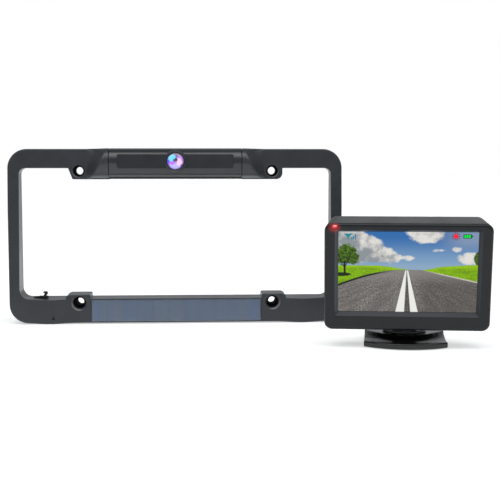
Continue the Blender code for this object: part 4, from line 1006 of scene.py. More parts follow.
def lens():
    """Black retaining ring, and a dome whose colour is painted: reflections of a coated front
    element, a dark pupil, a painted glint and a painted glow.
    """
    ring = turned("lens_retainer", [(0.0052, 0.0013), (0.0054, 0.0015), (0.0070, 0.0015),
                                    (0.0072, 0.0013), (0.0072, 0.0), (0.0052, 0.0),
                                    (0.0052, 0.0013)], "-Y", (0, -0.0103, 0), 64)
    piece(ring, "camera_bar", BAR, RING_BLACK.material, ["lens_ring"])

    dome = [(0.0, 0.0034)]
    for i in range(1, 13):
        turn = pi / 2 * i / 12
        dome.append((LENS_RADIUS * sin(turn), 0.0011 + 0.0023 * cos(turn)))
    dome += [(LENS_RADIUS, 0.0), (0.0, 0.0)]
    glass = turned("lens_dome", dome, "-Y", (0, -0.0121, 0), 72)
    made = Finish("lens_painted_reflections", Roughness=0.08, Coat_Weight=1.0, Coat_Roughness=0.03,
                  IOR=1.6)
    x, _, z = made.axes()
    far = made.distance(x, z)
    wobble = made.ramp(made.noise(380.0, 3.0), 0.3, 0.7, -0.0005, 0.0005)
    bent_x, bent_z = made.add(x, wobble), made.minus(z, wobble)
    # Painted reflections: coloured patches standing for light reflected in the coated front
    # element.
    colour = made.mix(made.ramp(z, -0.004, 0.005), (0.13, 0.08, 0.2), (0.07, 0.05, 0.1))
    for centre, radii, reflected_tint in (
            ((0.0042, 0.0002), (0.0048, 0.0056), (0.42, 0.2, 0.62)),
            ((-0.0004, -0.0044), (0.0060, 0.0038), (0.42, 0.38, 1.0)),
            ((-0.0062, 0.0003), (0.0030, 0.0044), (0.08, 0.08, 1.0)),
            ((-0.0030, -0.0014), (0.0034, 0.0028), (0.5, 0.14, 1.0)),
            ((-0.0030, 0.0028), (0.0044, 0.0040), (0.16, 0.62, 1.0)),
            ((0.0034, -0.0010), (0.0034, 0.0040), (0.95, 0.55, 1.0))):
        spot = made.ramp(made.blot(bent_x, bent_z, centre, radii), 0.05, 0.6)
        colour = made.mix(spot, colour, reflected_tint)
    pupil = made.ramp(made.blot(bent_x, bent_z, (0.0003, 0.0007), (0.0026, 0.0024)), 0.05, 0.7)
    colour = made.mix(pupil, colour, (0.045, 0.05, 0.09))
    # Painted glint: a pale patch by the pupil.
    inner = made.blot(x, z, (0.0004, -0.0008), (0.0012, 0.0010))
    colour = made.mix(made.ramp(inner, 0.0, 0.8, 0.0, 0.7), colour, (0.25, 0.26, 0.5))
    rim = made.inside(far, 0.0064, 0.0069, 0.0002)
    colour = made.mix(made.times(rim, 0.45), colour, (0.03, 0.02, 0.06))
    edge = made.inside(far, 0.0071, 0.0080, 0.0002)
    colour = made.mix(made.times(edge, 0.7), colour, (0.2, 0.16, 0.32))
    # Painted glow: the dome emits its painted colour, though it is no lamp.
    made.set(Base_Color=colour, Emission_Color=colour)
    made.set(Emission_Strength=0.35)
    piece(glass, "camera_bar", BAR, made.material, ["lens_glass"])


# ---------------------------------------------------------------- stand

def base_outline(into=0.0):
    """The base's plan, moved inwards by a distance."""
    centre, arc_radius = BASE_FRONT + BASE_ARC, BASE_ARC - into
    wide, rear = BASE_HALF_WIDTH - into, BASE_HALF_WIDTH_REAR - into
    corners = []
    for i in range(-12, 13):
        x = wide * i / 12
        radius = 0.0011 if abs(i) == 12 else 0.0
        corners.append((x, centre - sqrt(arc_radius ** 2 - x ** 2), radius))
    corners += [(rear, BASE_REAR - into, 0.008 - into), (-rear, BASE_REAR - into, 0.008 - into)]
    return divided(rounded(corners, 8), 0.0022)


def base_height(x, y):
    """Height of the base's top over a point of its plan."""
    out = BASE_ARC - hypot(x, y - BASE_FRONT - BASE_ARC)
    share = min(1.0, max(0.0, (out - BASE_BRIM) / BASE_SWEEP))
    ridge = 0.0004 * exp(-((out - 0.0011) / 0.0012) ** 2)
    return BASE_LIP + ridge + (BASE_HEIGHT - 0.0002 - BASE_LIP) * (1 - sqrt(1 - share ** 2))


def stand_base():
    outline = base_outline()
    centre = Vector((0.0, SWIVEL_Y))
    loops = []
    for into, high in ((0.0006, 0.0), (0.00025, 0.0002), (0.00006, 0.0006), (0.0, 0.0012)):
        loops.append([(q.x, q.y, BASE_BOTTOM + high) for q in
                      (p + (centre - p).normalized() * into for p in outline)])
    for into, short in arc(0.0009, 5):
        loops.append([(q.x, q.y, base_height(q.x, q.y) - short) for q in
                      (p + (centre - p).normalized() * into for p in outline)])
    for into in (0.0013, 0.0018, 0.0024, 0.003, 0.0036, 0.0045, 0.0056, 0.0068, 0.008, 0.0092,
                 0.0104, 0.0116, 0.0128, 0.0138, 0.0146, 0.0153, 0.0159, 0.0164, 0.0168,
                 0.0171, 0.018, 0.020):
        loops.append([(q.x, q.y, base_height(q.x, q.y)) for q in
                      (p + (centre - p).normalized() * into for p in outline)])
    for share in (0.6, 0.3, 0.12):
        loop = [centre + (Vector(point[:2]) - centre) * share for point in loops[-1]]
        loops.append([(q.x, q.y, base_height(q.x, q.y)) for q in loop])
    base = lofted("stand_base_form", loops)
    hollow = slab("base_hollow", base_outline(0.0022), -0.001, 0.0029, axis="Z")
    axis_hole = rod("swivel_hole", (0, SWIVEL_Y, 0.001), (0, SWIVEL_Y, 0.012), 0.0023)
    under = rod("nut_well", (0, SWIVEL_Y, 0.001), (0, SWIVEL_Y, 0.0078), 0.0075)
    carve(base, hollow, under, axis_hole)
    piece(base, "stand", UNIT, SATIN.material, ["stand_base"], sharp=50)
    cover = slab("base_floor", base_outline(0.0025), 0.0014, 0.0026, 0.0003, 0.0002, axis="Z")
    piece(cover, "stand", UNIT, BLACK.material, ["base_cover"])
    pad = slab("base_pad", base_outline(0.0042), 0.0, 0.0011, 0.0002, 0.0002, axis="Z", steps=2)
    piece(pad, "stand", UNIT, FOAM.material, ["adhesive_pad"])


def turntable():
    """The swivel disc and the two ears that hold the hinge pin."""
    disc = turned("turntable_disc", [(0.0, GAP), (0.0174, GAP), (0.018, GAP + 0.0004),
                                     (0.018, 0.0016), (0.0177, 0.0021), (0.0172, 0.0023),
                                     (0.0, 0.0023)], "Z", (0, 0, 0), 96)
    hinge = SWIVEL.inverted() @ TILT.translation
    back, top, wide = hinge.y, hinge.z, HINGE_EYE + 0.0015
    corners = [(back - wide, 0.0013, 0.0), (back + wide, 0.0013, 0.0),
               (back + HINGE_EYE, top, 0.0)]
    ear = rounded(corners) + [Vector((back + HINGE_EYE * cos(turn), top + HINGE_EYE * sin(turn)))
                              for turn in (pi * i / 20 for i in range(1, 20))]
    ear.append(Vector((back - HINGE_EYE, top)))
    tools = []
    for side in (-1, 1):
        low, high = sorted((side * EAR_INNER, side * EAR_OUTER))
        tools.append(("UNION", slab("ear", ear, low, high, 0.0005, 0.0005, axis="X")))
    hub = rectangle(EAR_INNER + 0.0005, -0.0065, back + wide - 0.0015, 0.002)
    hub = slab("hub", moved(hub, 0.0, 0.0005), 0.0010, 0.0068, 0.0, 0.0006, axis="Z")
    tools += [("UNION", hub),
              rod("screw_hole", (0, 0, -0.001), (0, 0, 0.009), 0.0023),
              rod("pin_hole", (-0.02, back, top), (0.02, back, top), HINGE_PIN + GAP)]
    carve(disc, *tools)
    piece(disc, "turntable", SWIVEL, SATIN.material, ["swivel_plate"])
    low = -MONITOR_WALL - GAP
    fixing = turned("turntable_screw", [
        (0.0, 0.0064), (0.0015, 0.0064), (0.002, 0.0058), (0.002, low), (0.0039, low),
        (0.0042, low - 0.0003), (0.0042, low - 0.0014), (0.0036, low - 0.0018),
        (0.0, low - 0.0018)], "Z", (0, 0, 0), 32)
    piece(fixing, "turntable", SWIVEL, STEEL.material, ["swivel_screw"])


def hinge():
    """Pin, nut, washers and the bracket on the monitor's back."""
    seat = -EAR_OUTER - GAP
    pin = turned("hinge_bolt", [
        (0.0, 0.0160), (0.0016, 0.0160), (HINGE_PIN, 0.0155), (HINGE_PIN, seat), (0.0039, seat),
        (0.0042, seat - 0.0004), (0.0042, seat - 0.0016), (0.0038, seat - 0.0022),
        (0.0030, seat - 0.0026), (0.0, seat - 0.0026)], "X", (0, 0, 0), 48)
    slot = box("slot", (seat - 0.004, -0.0004, -0.0030), (seat - 0.0014, 0.0004, 0.0030))
    carve(pin, slot)
    piece(pin, "monitor", TILT, STEEL.material, ["hinge_pin"])
    start = EAR_OUTER + GAP
    corners = [(0.0046 * cos(pi / 3 * i), 0.0046 * sin(pi / 3 * i), 0.0006) for i in range(6)]
    nut = slab("hinge_hex_nut", rounded(corners, 3), start, start + 0.0032, 0.0002, 0.0004,
               axis="X")
    carve(nut, rod("nut_bore", (0.005, 0, 0), (0.02, 0, 0), HINGE_PIN + GAP))
    piece(nut, "monitor", TILT, STEEL.material, ["hinge_nut"])
    bore = HINGE_PIN + GAP
    for side, name in SIDES:
        low = LUG_HALF_WIDTH + GAP
        washer = turned("washer_" + name, [
            (bore, low + 0.0008), (0.0053, low + 0.0008), (0.0055, low + 0.0006),
            (0.0055, low + 0.0002), (0.0053, low), (bore, low), (bore, low + 0.0008)],
            "X" if side > 0 else "-X", (0, 0, 0), 40)
        piece(washer, "monitor", TILT, FOAM.material, ["friction_washer_" + name])

    face = MONITOR_DEPTH + GAP - HINGE_IN_MONITOR.y
    down = HINGE_IN_MONITOR.z
    plate = slab("bracket_plate", rectangle(0.017, 0.008 - down, 0.034 - down, 0.003),
                 face, face + 0.003, 0.0002, 0.0008)
    reach = face + 0.0015
    lug = [Vector((reach, -0.0042)), Vector((0.0, -HINGE_EYE))]
    lug += [Vector((HINGE_EYE * cos(turn), HINGE_EYE * sin(turn)))
            for turn in (pi * i / 20 - pi / 2 for i in range(1, 20))]
    lug += [Vector((0.0, HINGE_EYE)), Vector((reach, 0.0130))]
    tools = [("UNION", slab("lug", lug, -LUG_HALF_WIDTH, LUG_HALF_WIDTH, 0.0004, 0.0004,
                            axis="X")),
             rod("lug_bore", (-0.02, 0, 0), (0.02, 0, 0), HINGE_PIN + GAP)]
    for side, name in SIDES:
        x, z = side * BRACKET_SCREW[0], BRACKET_SCREW[1] - down
        tools.append(rod("bracket_hole", (x, face - 0.01, z), (x, face + 0.01, z), 0.0016, 24))
        screw("bracket_fixing_" + name, "monitor", TILT, (x, face + 0.003 + GAP, z), 0.0026,
              0.0013, 0.0095, "bracket_screw_" + name)
    carve(plate, *tools)
    piece(plate, "monitor", TILT, BLACK.material, ["tilt_bracket"])


# ---------------------------------------------------------------- monitor

def monitor_loop(half_width, low, high, radius, y, steps=8):
    return [(p.x, y, p.y) for p in rectangle(half_width, low, high, radius, steps)]


def bezel():
    wide, top = MONITOR_HALF_WIDTH, MONITOR_HEIGHT
    loops = [monitor_loop(wide - 0.0002, 0.0002, top - 0.0002, 0.0063, BEZEL_EDGE),
             monitor_loop(wide, 0.0, top, MONITOR_CORNER, BEZEL_EDGE - 0.0003)]
    edge = 0.0026
    for into, short in arc(edge, 8):
        loops.append(monitor_loop(wide - into, into, top - into, MONITOR_CORNER - into, short))
    chamfer = 0.0033
    low, high = SCREEN_LOW - chamfer, SCREEN_TOP + 0.0022
    loops += [monitor_loop(SCREEN_HALF_WIDTH + chamfer, low, high, 0.0012, 0.0),
              monitor_loop(SCREEN_HALF_WIDTH + chamfer - 0.0003, low + 0.0003, high - 0.0002,
                           0.0011, 0.00015),
              monitor_loop(SCREEN_HALF_WIDTH + 0.0002, SCREEN_LOW - 0.0002, SCREEN_TOP + 0.0002,
                           0.0006, 0.0030),
              monitor_loop(SCREEN_HALF_WIDTH, SCREEN_LOW, SCREEN_TOP, 0.0005, 0.0032),
              monitor_loop(SCREEN_HALF_WIDTH, SCREEN_LOW, SCREEN_TOP, 0.0005, 0.0043)]
    out = SCREEN_MARGIN + 0.0005
    loops += [monitor_loop(SCREEN_HALF_WIDTH + out, SCREEN_LOW - out, SCREEN_TOP + out, 0.0006, y)
              for y in (0.0043, BEZEL_DEPTH)]
    loops += [monitor_loop(wide - 0.004, 0.0026, top - 0.0026, 0.004, y)
              for y in (BEZEL_DEPTH, BEZEL_EDGE)]
    frame_form = lofted("bezel_frame", loops, around=True)
    tools = []
    for side in (-1, 1):
        x = side * SCREW_X
        tools += [("UNION", rod("bezel_post", (x, 0.007, SCREW_Z), (x, 0.0127, SCREW_Z), 0.003)),
                  rod("bezel_pilot", (x, 0.005, SCREW_Z), (x, 0.02, SCREW_Z), 0.0015, 16)]
    slot = moved(rectangle(0.0017, LIGHT_Z - 0.0006, LIGHT_Z + 0.0006, 0.0005, 4), LIGHT_X)
    tools.append(slab("light_slot", slot, -0.001, 0.01))
    carve(frame_form, *tools)

    made = moulded("bezel_plastic", (0.0068, 0.0088, 0.0112), 0.36, spread=0.1, Coat_Weight=0.12,
                   Coat_Roughness=0.1, Specular_IOR_Level=0.25)
    x, y, z = made.axes()
    # The chamfer round the screen is coloured lighter than the bezel face.
    sloped = made.times(made.inside(y, 0.0003, 0.0033, 0.0002),
                        made.ramp(made.math("ABSOLUTE", x), SCREEN_HALF_WIDTH + chamfer + 0.0004,
                                  SCREEN_HALF_WIDTH + chamfer),
                        made.ramp(z, low - 0.0004, low), made.ramp(z, high + 0.0004, high))
    base = made.source("Base Color")
    # Painted highlight: the chamfer's left slope is coloured lighter than its other slopes.
    lit_left_slope = made.times(made.ramp(x, -SCREEN_HALF_WIDTH + 0.0002, -SCREEN_HALF_WIDTH - 0.0002),
                        made.ramp(z, SCREEN_LOW - 0.002, SCREEN_LOW + 0.002))
    slope = made.mix(lit_left_slope, (0.024, 0.028, 0.033), (0.058, 0.063, 0.070))
    made.set(Base_Color=made.mix(sloped, base, slope))
    # Painted glow: the LED's red light painted onto the bezel round its slot, as emission of the
    # bezel plastic.
    glow = made.blot(x, z, (LIGHT_X - 0.0004, LIGHT_Z - 0.0014), (0.0064, 0.0052))
    core = made.blot(x, z, (LIGHT_X - 0.0004, LIGHT_Z - 0.0004), (0.0026, 0.0016))
    haze = made.add(made.times(made.math("POWER", glow, 2.0), 0.3), made.times(core, 0.6))
    made.set(Emission_Color=made.mix(made.math("POWER", core, 3.0), (1.0, 0.012, 0.018),
                                     (1.0, 0.16, 0.16)),
             Emission_Strength=haze)
    piece(frame_form, "monitor", MONITOR, made.material, ["monitor_bezel"])

    outline = moved(rectangle(0.00155, LIGHT_Z - 0.00045, LIGHT_Z + 0.00045, 0.0004, 4), LIGHT_X)
    pipe = slab("light_window", outline, 0.0007, 0.0095, 0.0002, 0.0)
    made = Finish("red_light", Base_Color=(0.6, 0.03, 0.03), Roughness=0.2,
                  Emission_Color=(1.0, 0.3, 0.3))
    x, _, z = made.axes()
    made.set(Emission_Strength=made.ramp(made.blot(x, z, (LIGHT_X, LIGHT_Z), (0.002, 0.002)),
                                         0.2, 1.0, 0.25, 1.3))
    piece(pipe, "monitor", MONITOR, made.material, ["led_light_pipe"])


def rear_shell():
    wide, top, wall = MONITOR_HALF_WIDTH, MONITOR_HEIGHT, MONITOR_WALL
    front, rear = BEZEL_EDGE + GAP, MONITOR_DEPTH

    def loop(y, into):
        along = (y - front) / (rear - front)
        taper = MONITOR_TAPER * along
        radius = max(0.0008, MONITOR_CORNER - into)
        return monitor_loop(wide - taper - into, into, top - into, radius, y)

    edge = 0.0018
    loops = [loop(rear - short, into) for into, short in reversed(arc(edge, 6))]
    loops += [loop(rear - (rear - front) * i / 5, 0.0) for i in range(1, 5)]
    loops += [loop(front + 0.0003, 0.0), loop(front, 0.0003), loop(front, wall)]
    loops += [loop(rear - wall - 0.001, wall), loop(rear - wall, wall + 0.001)]
    shell = lofted("monitor_back", loops)
    tools = []
    for side in (-1, 1):
        x, z = side * SCREW_X, SCREW_Z
        tools += [("UNION", rod("rear_post", (x, 0.013, z), (x, 0.027, z), 0.0036)),
                  turned("rear_seat", [(0.0, 0.02), (0.0033, 0.02), (0.0033, 0.0058),
                                       (0.0029, 0.0052), (0.0029, 0.0), (0.0016, 0.0),
                                       (0.0016, -0.02), (0.0, -0.02)], "Y", (x, 0.0225, z), 32)]
        x, z = side * BRACKET_SCREW[0], BRACKET_SCREW[1]
        tools += [("UNION", rod("bracket_post", (x, 0.0190, z), (x, 0.027, z), 0.003)),
                  rod("bracket_pilot", (x, 0.0205, z), (x, 0.03, z), 0.0016, 16)]
    for x in BUTTON_X:
        tools.append(turned("button_way", [
            (0.0, 0.01), (BUTTON_RADIUS + 0.0008, 0.01), (BUTTON_RADIUS + 0.0008, 0.0),
            (BUTTON_RADIUS + GAP, -0.0005), (BUTTON_RADIUS + GAP, -0.01), (0.0, -0.01)], "Y",
            (x, rear, BUTTON_Z), 40))
    tools.append(rod("gland_hole", (GLAND_X, 0.02, GLAND_Z), (GLAND_X, 0.03, GLAND_Z), 0.0031))
    for i in range(5):
        middle = 0.05075 + 0.004 * i
        outline = moved(rectangle(0.013, middle - 0.00075, middle + 0.00075, 0.0007, 4), 0.035)
        tools.append(slab("vent", outline, 0.02, 0.03))
    carve(shell, *tools)
    piece(shell, "monitor", MONITOR, BLACK.material, ["monitor_rear_shell"])
    for side, name in SIDES:
        screw("monitor_fixing_" + name, "monitor", MONITOR,
              (side * SCREW_X, 0.0228, SCREW_Z), 0.0026, 0.0012, 0.0145,
              "monitor_screw_" + name)


def picture():
    """The screen's road picture, drawn from plain shapes and noise, in millimetres."""
    made = Finish("screen_picture", Roughness=0.3, Base_Color=(0.004, 0.004, 0.005),
                  Specular_IOR_Level=0.12)
    mix, ramp, inside, blot, distance = (made.mix, made.ramp, made.inside, made.blot,
                                         made.distance)
    times, add, minus, math = made.times, made.add, made.minus, made.math
    node, put = made.node, made.put
    x, _, z = made.axes()
    u, v = times(x, 1000.0), times(z, 1000.0)
    flat = node("ShaderNodeCombineXYZ")
    put(u, flat.inputs[0])
    put(v, flat.inputs[1])
    flat = flat.outputs[0]

    def noise(scale, detail, roughness=0.55, stretch=None):
        return made.noise(scale, detail, roughness, flat, stretch)

    # Sky and clouds. The big left cloud lies below a slanting line.
    sky = mix(ramp(v, 52, 78), (0.22, 0.37, 0.56), (0.03, 0.15, 0.42))
    puff = noise(0.11, 9.0, 0.62, (1.0, 1.4, 1.0))
    deep = add(times(u, -0.6), times(v, -0.8), 45.0)
    field = minus(ramp(deep, -7, 7, -0.32, 0.34), ramp(v, 59, 53, 0.0, 0.42))
    for centre, radii, strength in (((14, 79), (21, 12), 0.75), ((0, 58.5), (10, 3.4), 0.55),
                                    ((38, 66), (6.5, 3.6), 0.55), ((50, 58.5), (16, 7.5), 0.7),
                                    ((25, 65), (12, 2.4), 0.4)):
        spot = minus(times(blot(u, v, centre, radii), strength), 0.32)
        field = math("MAXIMUM", field, spot)
    cloud = ramp(add(puff, field), 0.46, 0.7)
    grey = noise(0.12, 7.0, 0.6)
    low_side = math("MAXIMUM", times(ramp(deep, 1, 15), ramp(u, 0, -12)),
                    times(ramp(u, 16, 32), ramp(v, 68, 74), 0.8))
    lit = ramp(minus(grey, times(low_side, 0.26)), 0.2, 0.56)
    colour = mix(cloud, sky, mix(lit, (0.27, 0.3, 0.32), (0.78, 0.76, 0.72)))
    haze = times(ramp(u, 18, 46), ramp(v, 62, 74), 0.75)
    colour = mix(haze, colour, (0.28, 0.35, 0.46))
    colour = mix(ramp(v, 57, 51, 0.0, 0.35), colour, (0.36, 0.46, 0.55))

    # Fields, whose far edges rise from the road's end.
    blade = noise(0.75, 6.0, 0.75, (1.0, 1.8, 1.0))
    soft = noise(0.14, 4.0, 0.6, (0.6, 1.6, 1.0))
    grass = mix(ramp(blade, 0.32, 0.68), (0.09, 0.24, 0.0), (0.36, 0.66, 0.0))
    grass = mix(ramp(soft, 0.44, 0.68, 0.0, 0.6), grass, (0.08, 0.18, 0.0))
    hill_left = ramp(u, -26, 8, 52.6, 49.2)
    hill_right = add(ramp(u, 8, 32, 48.9, 52.4), ramp(u, 28, 56, 0.0, 1.4))
    hill = math("MAXIMUM", math("MINIMUM", hill_left, ramp(u, 8, 12, 60, 49)),
                math("MINIMUM", hill_right, ramp(u, 8, 12, 49, 60)))
    sunlit = times(inside(minus(hill, v), 0.0, 2.2, 0.8), 0.5)
    grass = mix(sunlit, grass, (0.36, 0.64, 0.005))
    colour = mix(ramp(minus(hill, v), -0.2, 0.3), colour, grass)

    # Road between two edges that meet at the horizon.
    near = minus(49.3, v)
    away = math("MAXIMUM", minus(-2.0, u), 0.001)
    left_edge = minus(49.4, times(math("POWER", away, 1.75), 0.0124))
    right_edge = add(times(minus(10.6, u), 0.226), 49.3)
    edge = math("MINIMUM", math("MINIMUM", left_edge, right_edge), 49.3)
    speck = noise(0.85, 3.0, 0.8)
    patch = noise(0.1, 4.0, 0.6)
    along = node("ShaderNodeCombineXYZ")
    put(math("DIVIDE", u, math("MAXIMUM", near, 1.0)), along.inputs[0])
    put(times(near, 0.02), along.inputs[1])
    tracks = made.noise(3.2, 3.0, 0.55, along.outputs[0])
    road = mix(ramp(speck, 0.36, 0.64), (0.045, 0.04, 0.036), (0.37, 0.345, 0.325))
    road = mix(ramp(patch, 0.35, 0.65, 0.1, 0.55), road, (0.17, 0.155, 0.145))
    road = mix(ramp(tracks, 0.4, 0.62, 0.0, 0.5), road, (0.1, 0.09, 0.082))
    road = mix(ramp(u, -4, 24, 0.0, 0.5), road, (0.055, 0.05, 0.045))
    road = mix(ramp(near, 14, 1, 0.0, 0.7), road, (0.26, 0.25, 0.24))
    below = minus(edge, v)
    colour = mix(ramp(below, -0.15, 0.15), colour, road)
    verge = times(inside(below, -0.4, 1.2, 0.3), ramp(u, -4, -30, 0.0, 1.0))
    colour = mix(verge, colour, (0.01, 0.01, 0.008))
    kerb = times(inside(below, -0.5, 0.45, 0.2), ramp(u, 12, 30))
    colour = mix(kerb, colour, (0.6, 0.54, 0.48))

    # Two white lines that widen towards the bottom, with a dark strip between them.
    for at_start, start, at_end, end in ((-1.55, -0.2114, -0.76, -0.0356),
                                         (-0.42, 0.0958, 0.41, 0.2425)):
        inner = minus(u, add(times(near, start), at_start))
        outer = minus(add(times(near, end), at_end), u)
        line = times(ramp(inner, -0.15, 0.2, smooth=False), ramp(outer, -0.15, 0.2, smooth=False),
                     ramp(near, 0.2, 0.8))
        wear_and_painted_highlight = mix(ramp(speck, 0.3, 0.42), (0.6, 0.6, 0.57), (0.86, 0.87, 0.82))
        colour = mix(line, colour, wear_and_painted_highlight)
    between = times(inside(math("DIVIDE", add(u, 0.6), near), -0.03, 0.088, 0.01),
                    ramp(near, 3.0, 6.0))
    colour = mix(times(between, 0.75), colour, mix(ramp(speck, 0.4, 0.62), (0.03, 0.027, 0.024),
                                                   (0.14, 0.13, 0.12)))

    # Trees.
    leaf = noise(0.5, 5.0, 0.75)
    ragged = ramp(noise(0.26, 6.0, 0.75), 0.25, 0.75, -0.36, 0.34)
    crown = add(blot(u, v, (-48.3, 62.6), (11.2, 9.4)), times(blot(u, v, (-42.5, 57.2),
                                                                   (6.5, 6.2)), 0.7),
                times(blot(u, v, (-53.5, 57.5), (6.0, 7.0)), 0.5), ragged)
    crown = ramp(crown, 0.38, 0.46)
    bough = ramp(add(blot(u, v, (56.4, 58.8), (5.8, 7.2)), times(ragged, 0.5)), 0.2, 0.3)
    shadow = times(blot(u, v, (-52, 45.2), (8.5, 1.8)), 0.95)
    colour = mix(ramp(shadow, 0.05, 0.4), colour, (0.01, 0.025, 0.004))
    trunk = math("ABSOLUTE", add(u, 49.3, times(minus(v, 45), 0.03)))
    fork = math("ABSOLUTE", minus(trunk, times(minus(v, 50), 0.42)))
    trunk = times(ramp(trunk, 0.95, 0.6), inside(v, 44.8, 56, 0.3))
    fork = times(ramp(fork, 0.6, 0.3), inside(v, 50, 62, 0.3))
    green = mix(ramp(leaf, 0.36, 0.6), (0.006, 0.02, 0.002), (0.075, 0.17, 0.008))
    green = mix(ramp(add(leaf, times(minus(v, 62), 0.012)), 0.54, 0.7, 0.0, 0.8), green,
                (0.16, 0.3, 0.015))
    colour = mix(math("MAXIMUM", crown, bough), colour, green)
    colour = mix(math("MAXIMUM", trunk, times(fork, 0.8)), colour, (0.012, 0.012, 0.006))

    # Signal, recording and battery marks.
    for low, high in ((-44.6, 75.4), (-43.2, 76.6), (-41.7, 78.2)):
        bar = times(inside(u, low, low + 0.95, 0.15), inside(v, 73.7, high, 0.2))
        colour = mix(bar, colour, (0.015, 0.22, 0.36))
    slant = math("ABSOLUTE", add(u, 46.8))
    cone = times(inside(minus(v, slant), 75.0, 79.0, 0.2), inside(v, 75.0, 78.4, 0.2))
    cone = math("MAXIMUM", cone, times(inside(slant, -1, 0.5, 0.2), inside(v, 73.6, 76, 0.2)))
    colour = mix(cone, colour, (0.01, 0.25, 0.32))
    du, dv = minus(u, 36.9), minus(v, 76.7)
    far = distance(du, dv)
    spoke = math("COSINE", times(math("ARCTAN2", dv, du), 10.0))
    ray = times(ramp(spoke, 0.1, 0.6), inside(far, 1.7, 3.3, 0.2))
    colour = mix(ray, colour, (0.22, 0.0, 0.02))
    colour = mix(ramp(far, 2.0, 1.5), colour, (1.0, 0.01, 0.02))
    case = times(inside(u, 42.6, 49.0, 0.2), inside(v, 75.0, 78.4, 0.2))
    tip = times(inside(u, 48.8, 49.8, 0.15), inside(v, 76.0, 77.4, 0.15))
    colour = mix(math("MAXIMUM", case, tip), colour, (0.0, 0.025, 0.005))
    segment = math("FRACT", times(minus(u, 43.2), 0.56))
    fill = times(inside(u, 43.2, 48.4, 0.15), inside(v, 75.5, 77.9, 0.15),
                 ramp(segment, 0.98, 0.8))
    colour = mix(fill, colour, (0.0, 0.8, 0.06))
    made.set(Emission_Color=colour)
    made.set(Emission_Strength=0.95)
    return made.material


def screen():
    wide = SCREEN_HALF_WIDTH + SCREEN_MARGIN
    outline = rectangle(wide, SCREEN_LOW - SCREEN_MARGIN, SCREEN_TOP + SCREEN_MARGIN, 0.0005, 3)
    sheet = slab("screen_face", outline, 0.0046, 0.0056, 0.0001, 0.0001, steps=2)
    piece(sheet, "monitor", MONITOR, picture(), ["screen_glass"])


def buttons():
    for name, x in zip(("menu", "up", "down"), BUTTON_X):
        r = BUTTON_RADIUS
        profile = [(0.0, 0.00105), (r * 0.45, 0.0011), (r * 0.7, 0.0012), (r * 0.88, 0.0011),
                   (r * 0.97, 0.0008), (r, 0.0003), (r, -MONITOR_WALL - GAP),
                   (r + 0.001, -MONITOR_WALL - GAP), (r + 0.001, -MONITOR_WALL - 0.0013),
                   (0.0012, -MONITOR_WALL - 0.0013), (0.0012, -0.0135), (0.0, -0.0135)]
        cap = turned("key_" + name, profile, "Y", (x, MONITOR_DEPTH, BUTTON_Z), 48)
        piece(cap, "button_" + name, MONITOR, RUBBER.material,
              ["button_" + name])


def gland():
    inner = 0.0016
    profile = [(inner, 0.0100), (0.0022, 0.0100), (0.0023, 0.0098)]
    for i in range(5):
        start = 0.0090 - 0.0016 * i
        wide = 0.0023 + 0.0001 * i
        profile += [(wide, start), (wide - 0.0003, start - 0.0003),
                    (wide - 0.0003, start - 0.0008), (wide + 0.0001, start - 0.0011)]
    profile += [(0.0028, 0.0006), (0.0039, 0.0006), (0.0042, GAP + 0.0001), (0.0042, GAP),
                (0.0028, GAP), (0.0028, -MONITOR_WALL - GAP), (0.0040, -MONITOR_WALL - GAP),
                (0.0040, -MONITOR_WALL - 0.0015), (inner, -MONITOR_WALL - 0.0015),
                (inner, 0.0100)]
    sleeve = turned("lead_gland", profile, "Y", (GLAND_X, MONITOR_DEPTH, GLAND_Z), 40)
    piece(sleeve, "monitor", MONITOR, RUBBER.material, ["cable_gland"])


def finish_carried_over():
    """Finishes of the CAD nodes that show their own shape, all of them inside a casing."""
    looks = {BOARD: ("transmitter_board", "antenna_strip", "sensor_board", "monitor_board"),
             STEEL: ("usb_port", "lcd_panel"),
             BATTERY: ("battery_cell_left", "battery_cell_right"),
             RUBBER: ("camera_cable", "power_lead", "oring_left", "oring_right"),
             BLACK: ("lens_barrel", "pivot_left", "pivot_right")}
    for look, names in looks.items():
        for name in names:
            node = frame["nodes"][name]
            node.data.materials.clear()
            node.data.materials.append(look.material)


# ---------------------------------------------------------------- studio

# Brightness of the surroundings by angle: ahead at 0, overhead at 90, behind at 180.
AROUND = ((-180, 0.36), (-90, 0.34), (-20, 0.26), (-4, 0.13), (8, 0.09), (44, 0.09), (51, 0.8),
          (71, 0.8), (77, 0.1), (86, 0.02), (114, 0.02), (134, 0.12), (150, 0.24), (165, 0.2),
          (180, 0.14))
AROUND_SCALE = 3.0
SIDE_LIGHT = 0.12
SOFTBOX_PLACE = (0.0, -0.2, 1.4)
SOFTBOX_SIZE = (1.4, 0.5)
SOFTBOX_POWER = 5.0
# The camera's place is from the middle of the frame's back, on the floor.
CAMERA_PLACE = (0.0211, -0.9696, 0.1531)
CAMERA_DOWN = 5.16
CAMERA_RIGHT = 2.84
CAMERA_LENS = 74.23


def stage_floor():
    bm = bmesh.new()
    bmesh.ops.create_grid(bm, x_segments=1, y_segments=1, size=8.0)
    floor = new_object("floor", bm)
    floor.location = (0, 0, -0.0001)
    made = Finish("pale_floor", Base_Color=(0.86, 0.86, 0.86), Roughness=0.9,
                  Specular_IOR_Level=0.1, Emission_Color=(1.0, 1.0, 1.0))
    made.set(Emission_Strength=0.5)
    floor.data.materials.append(made.material)


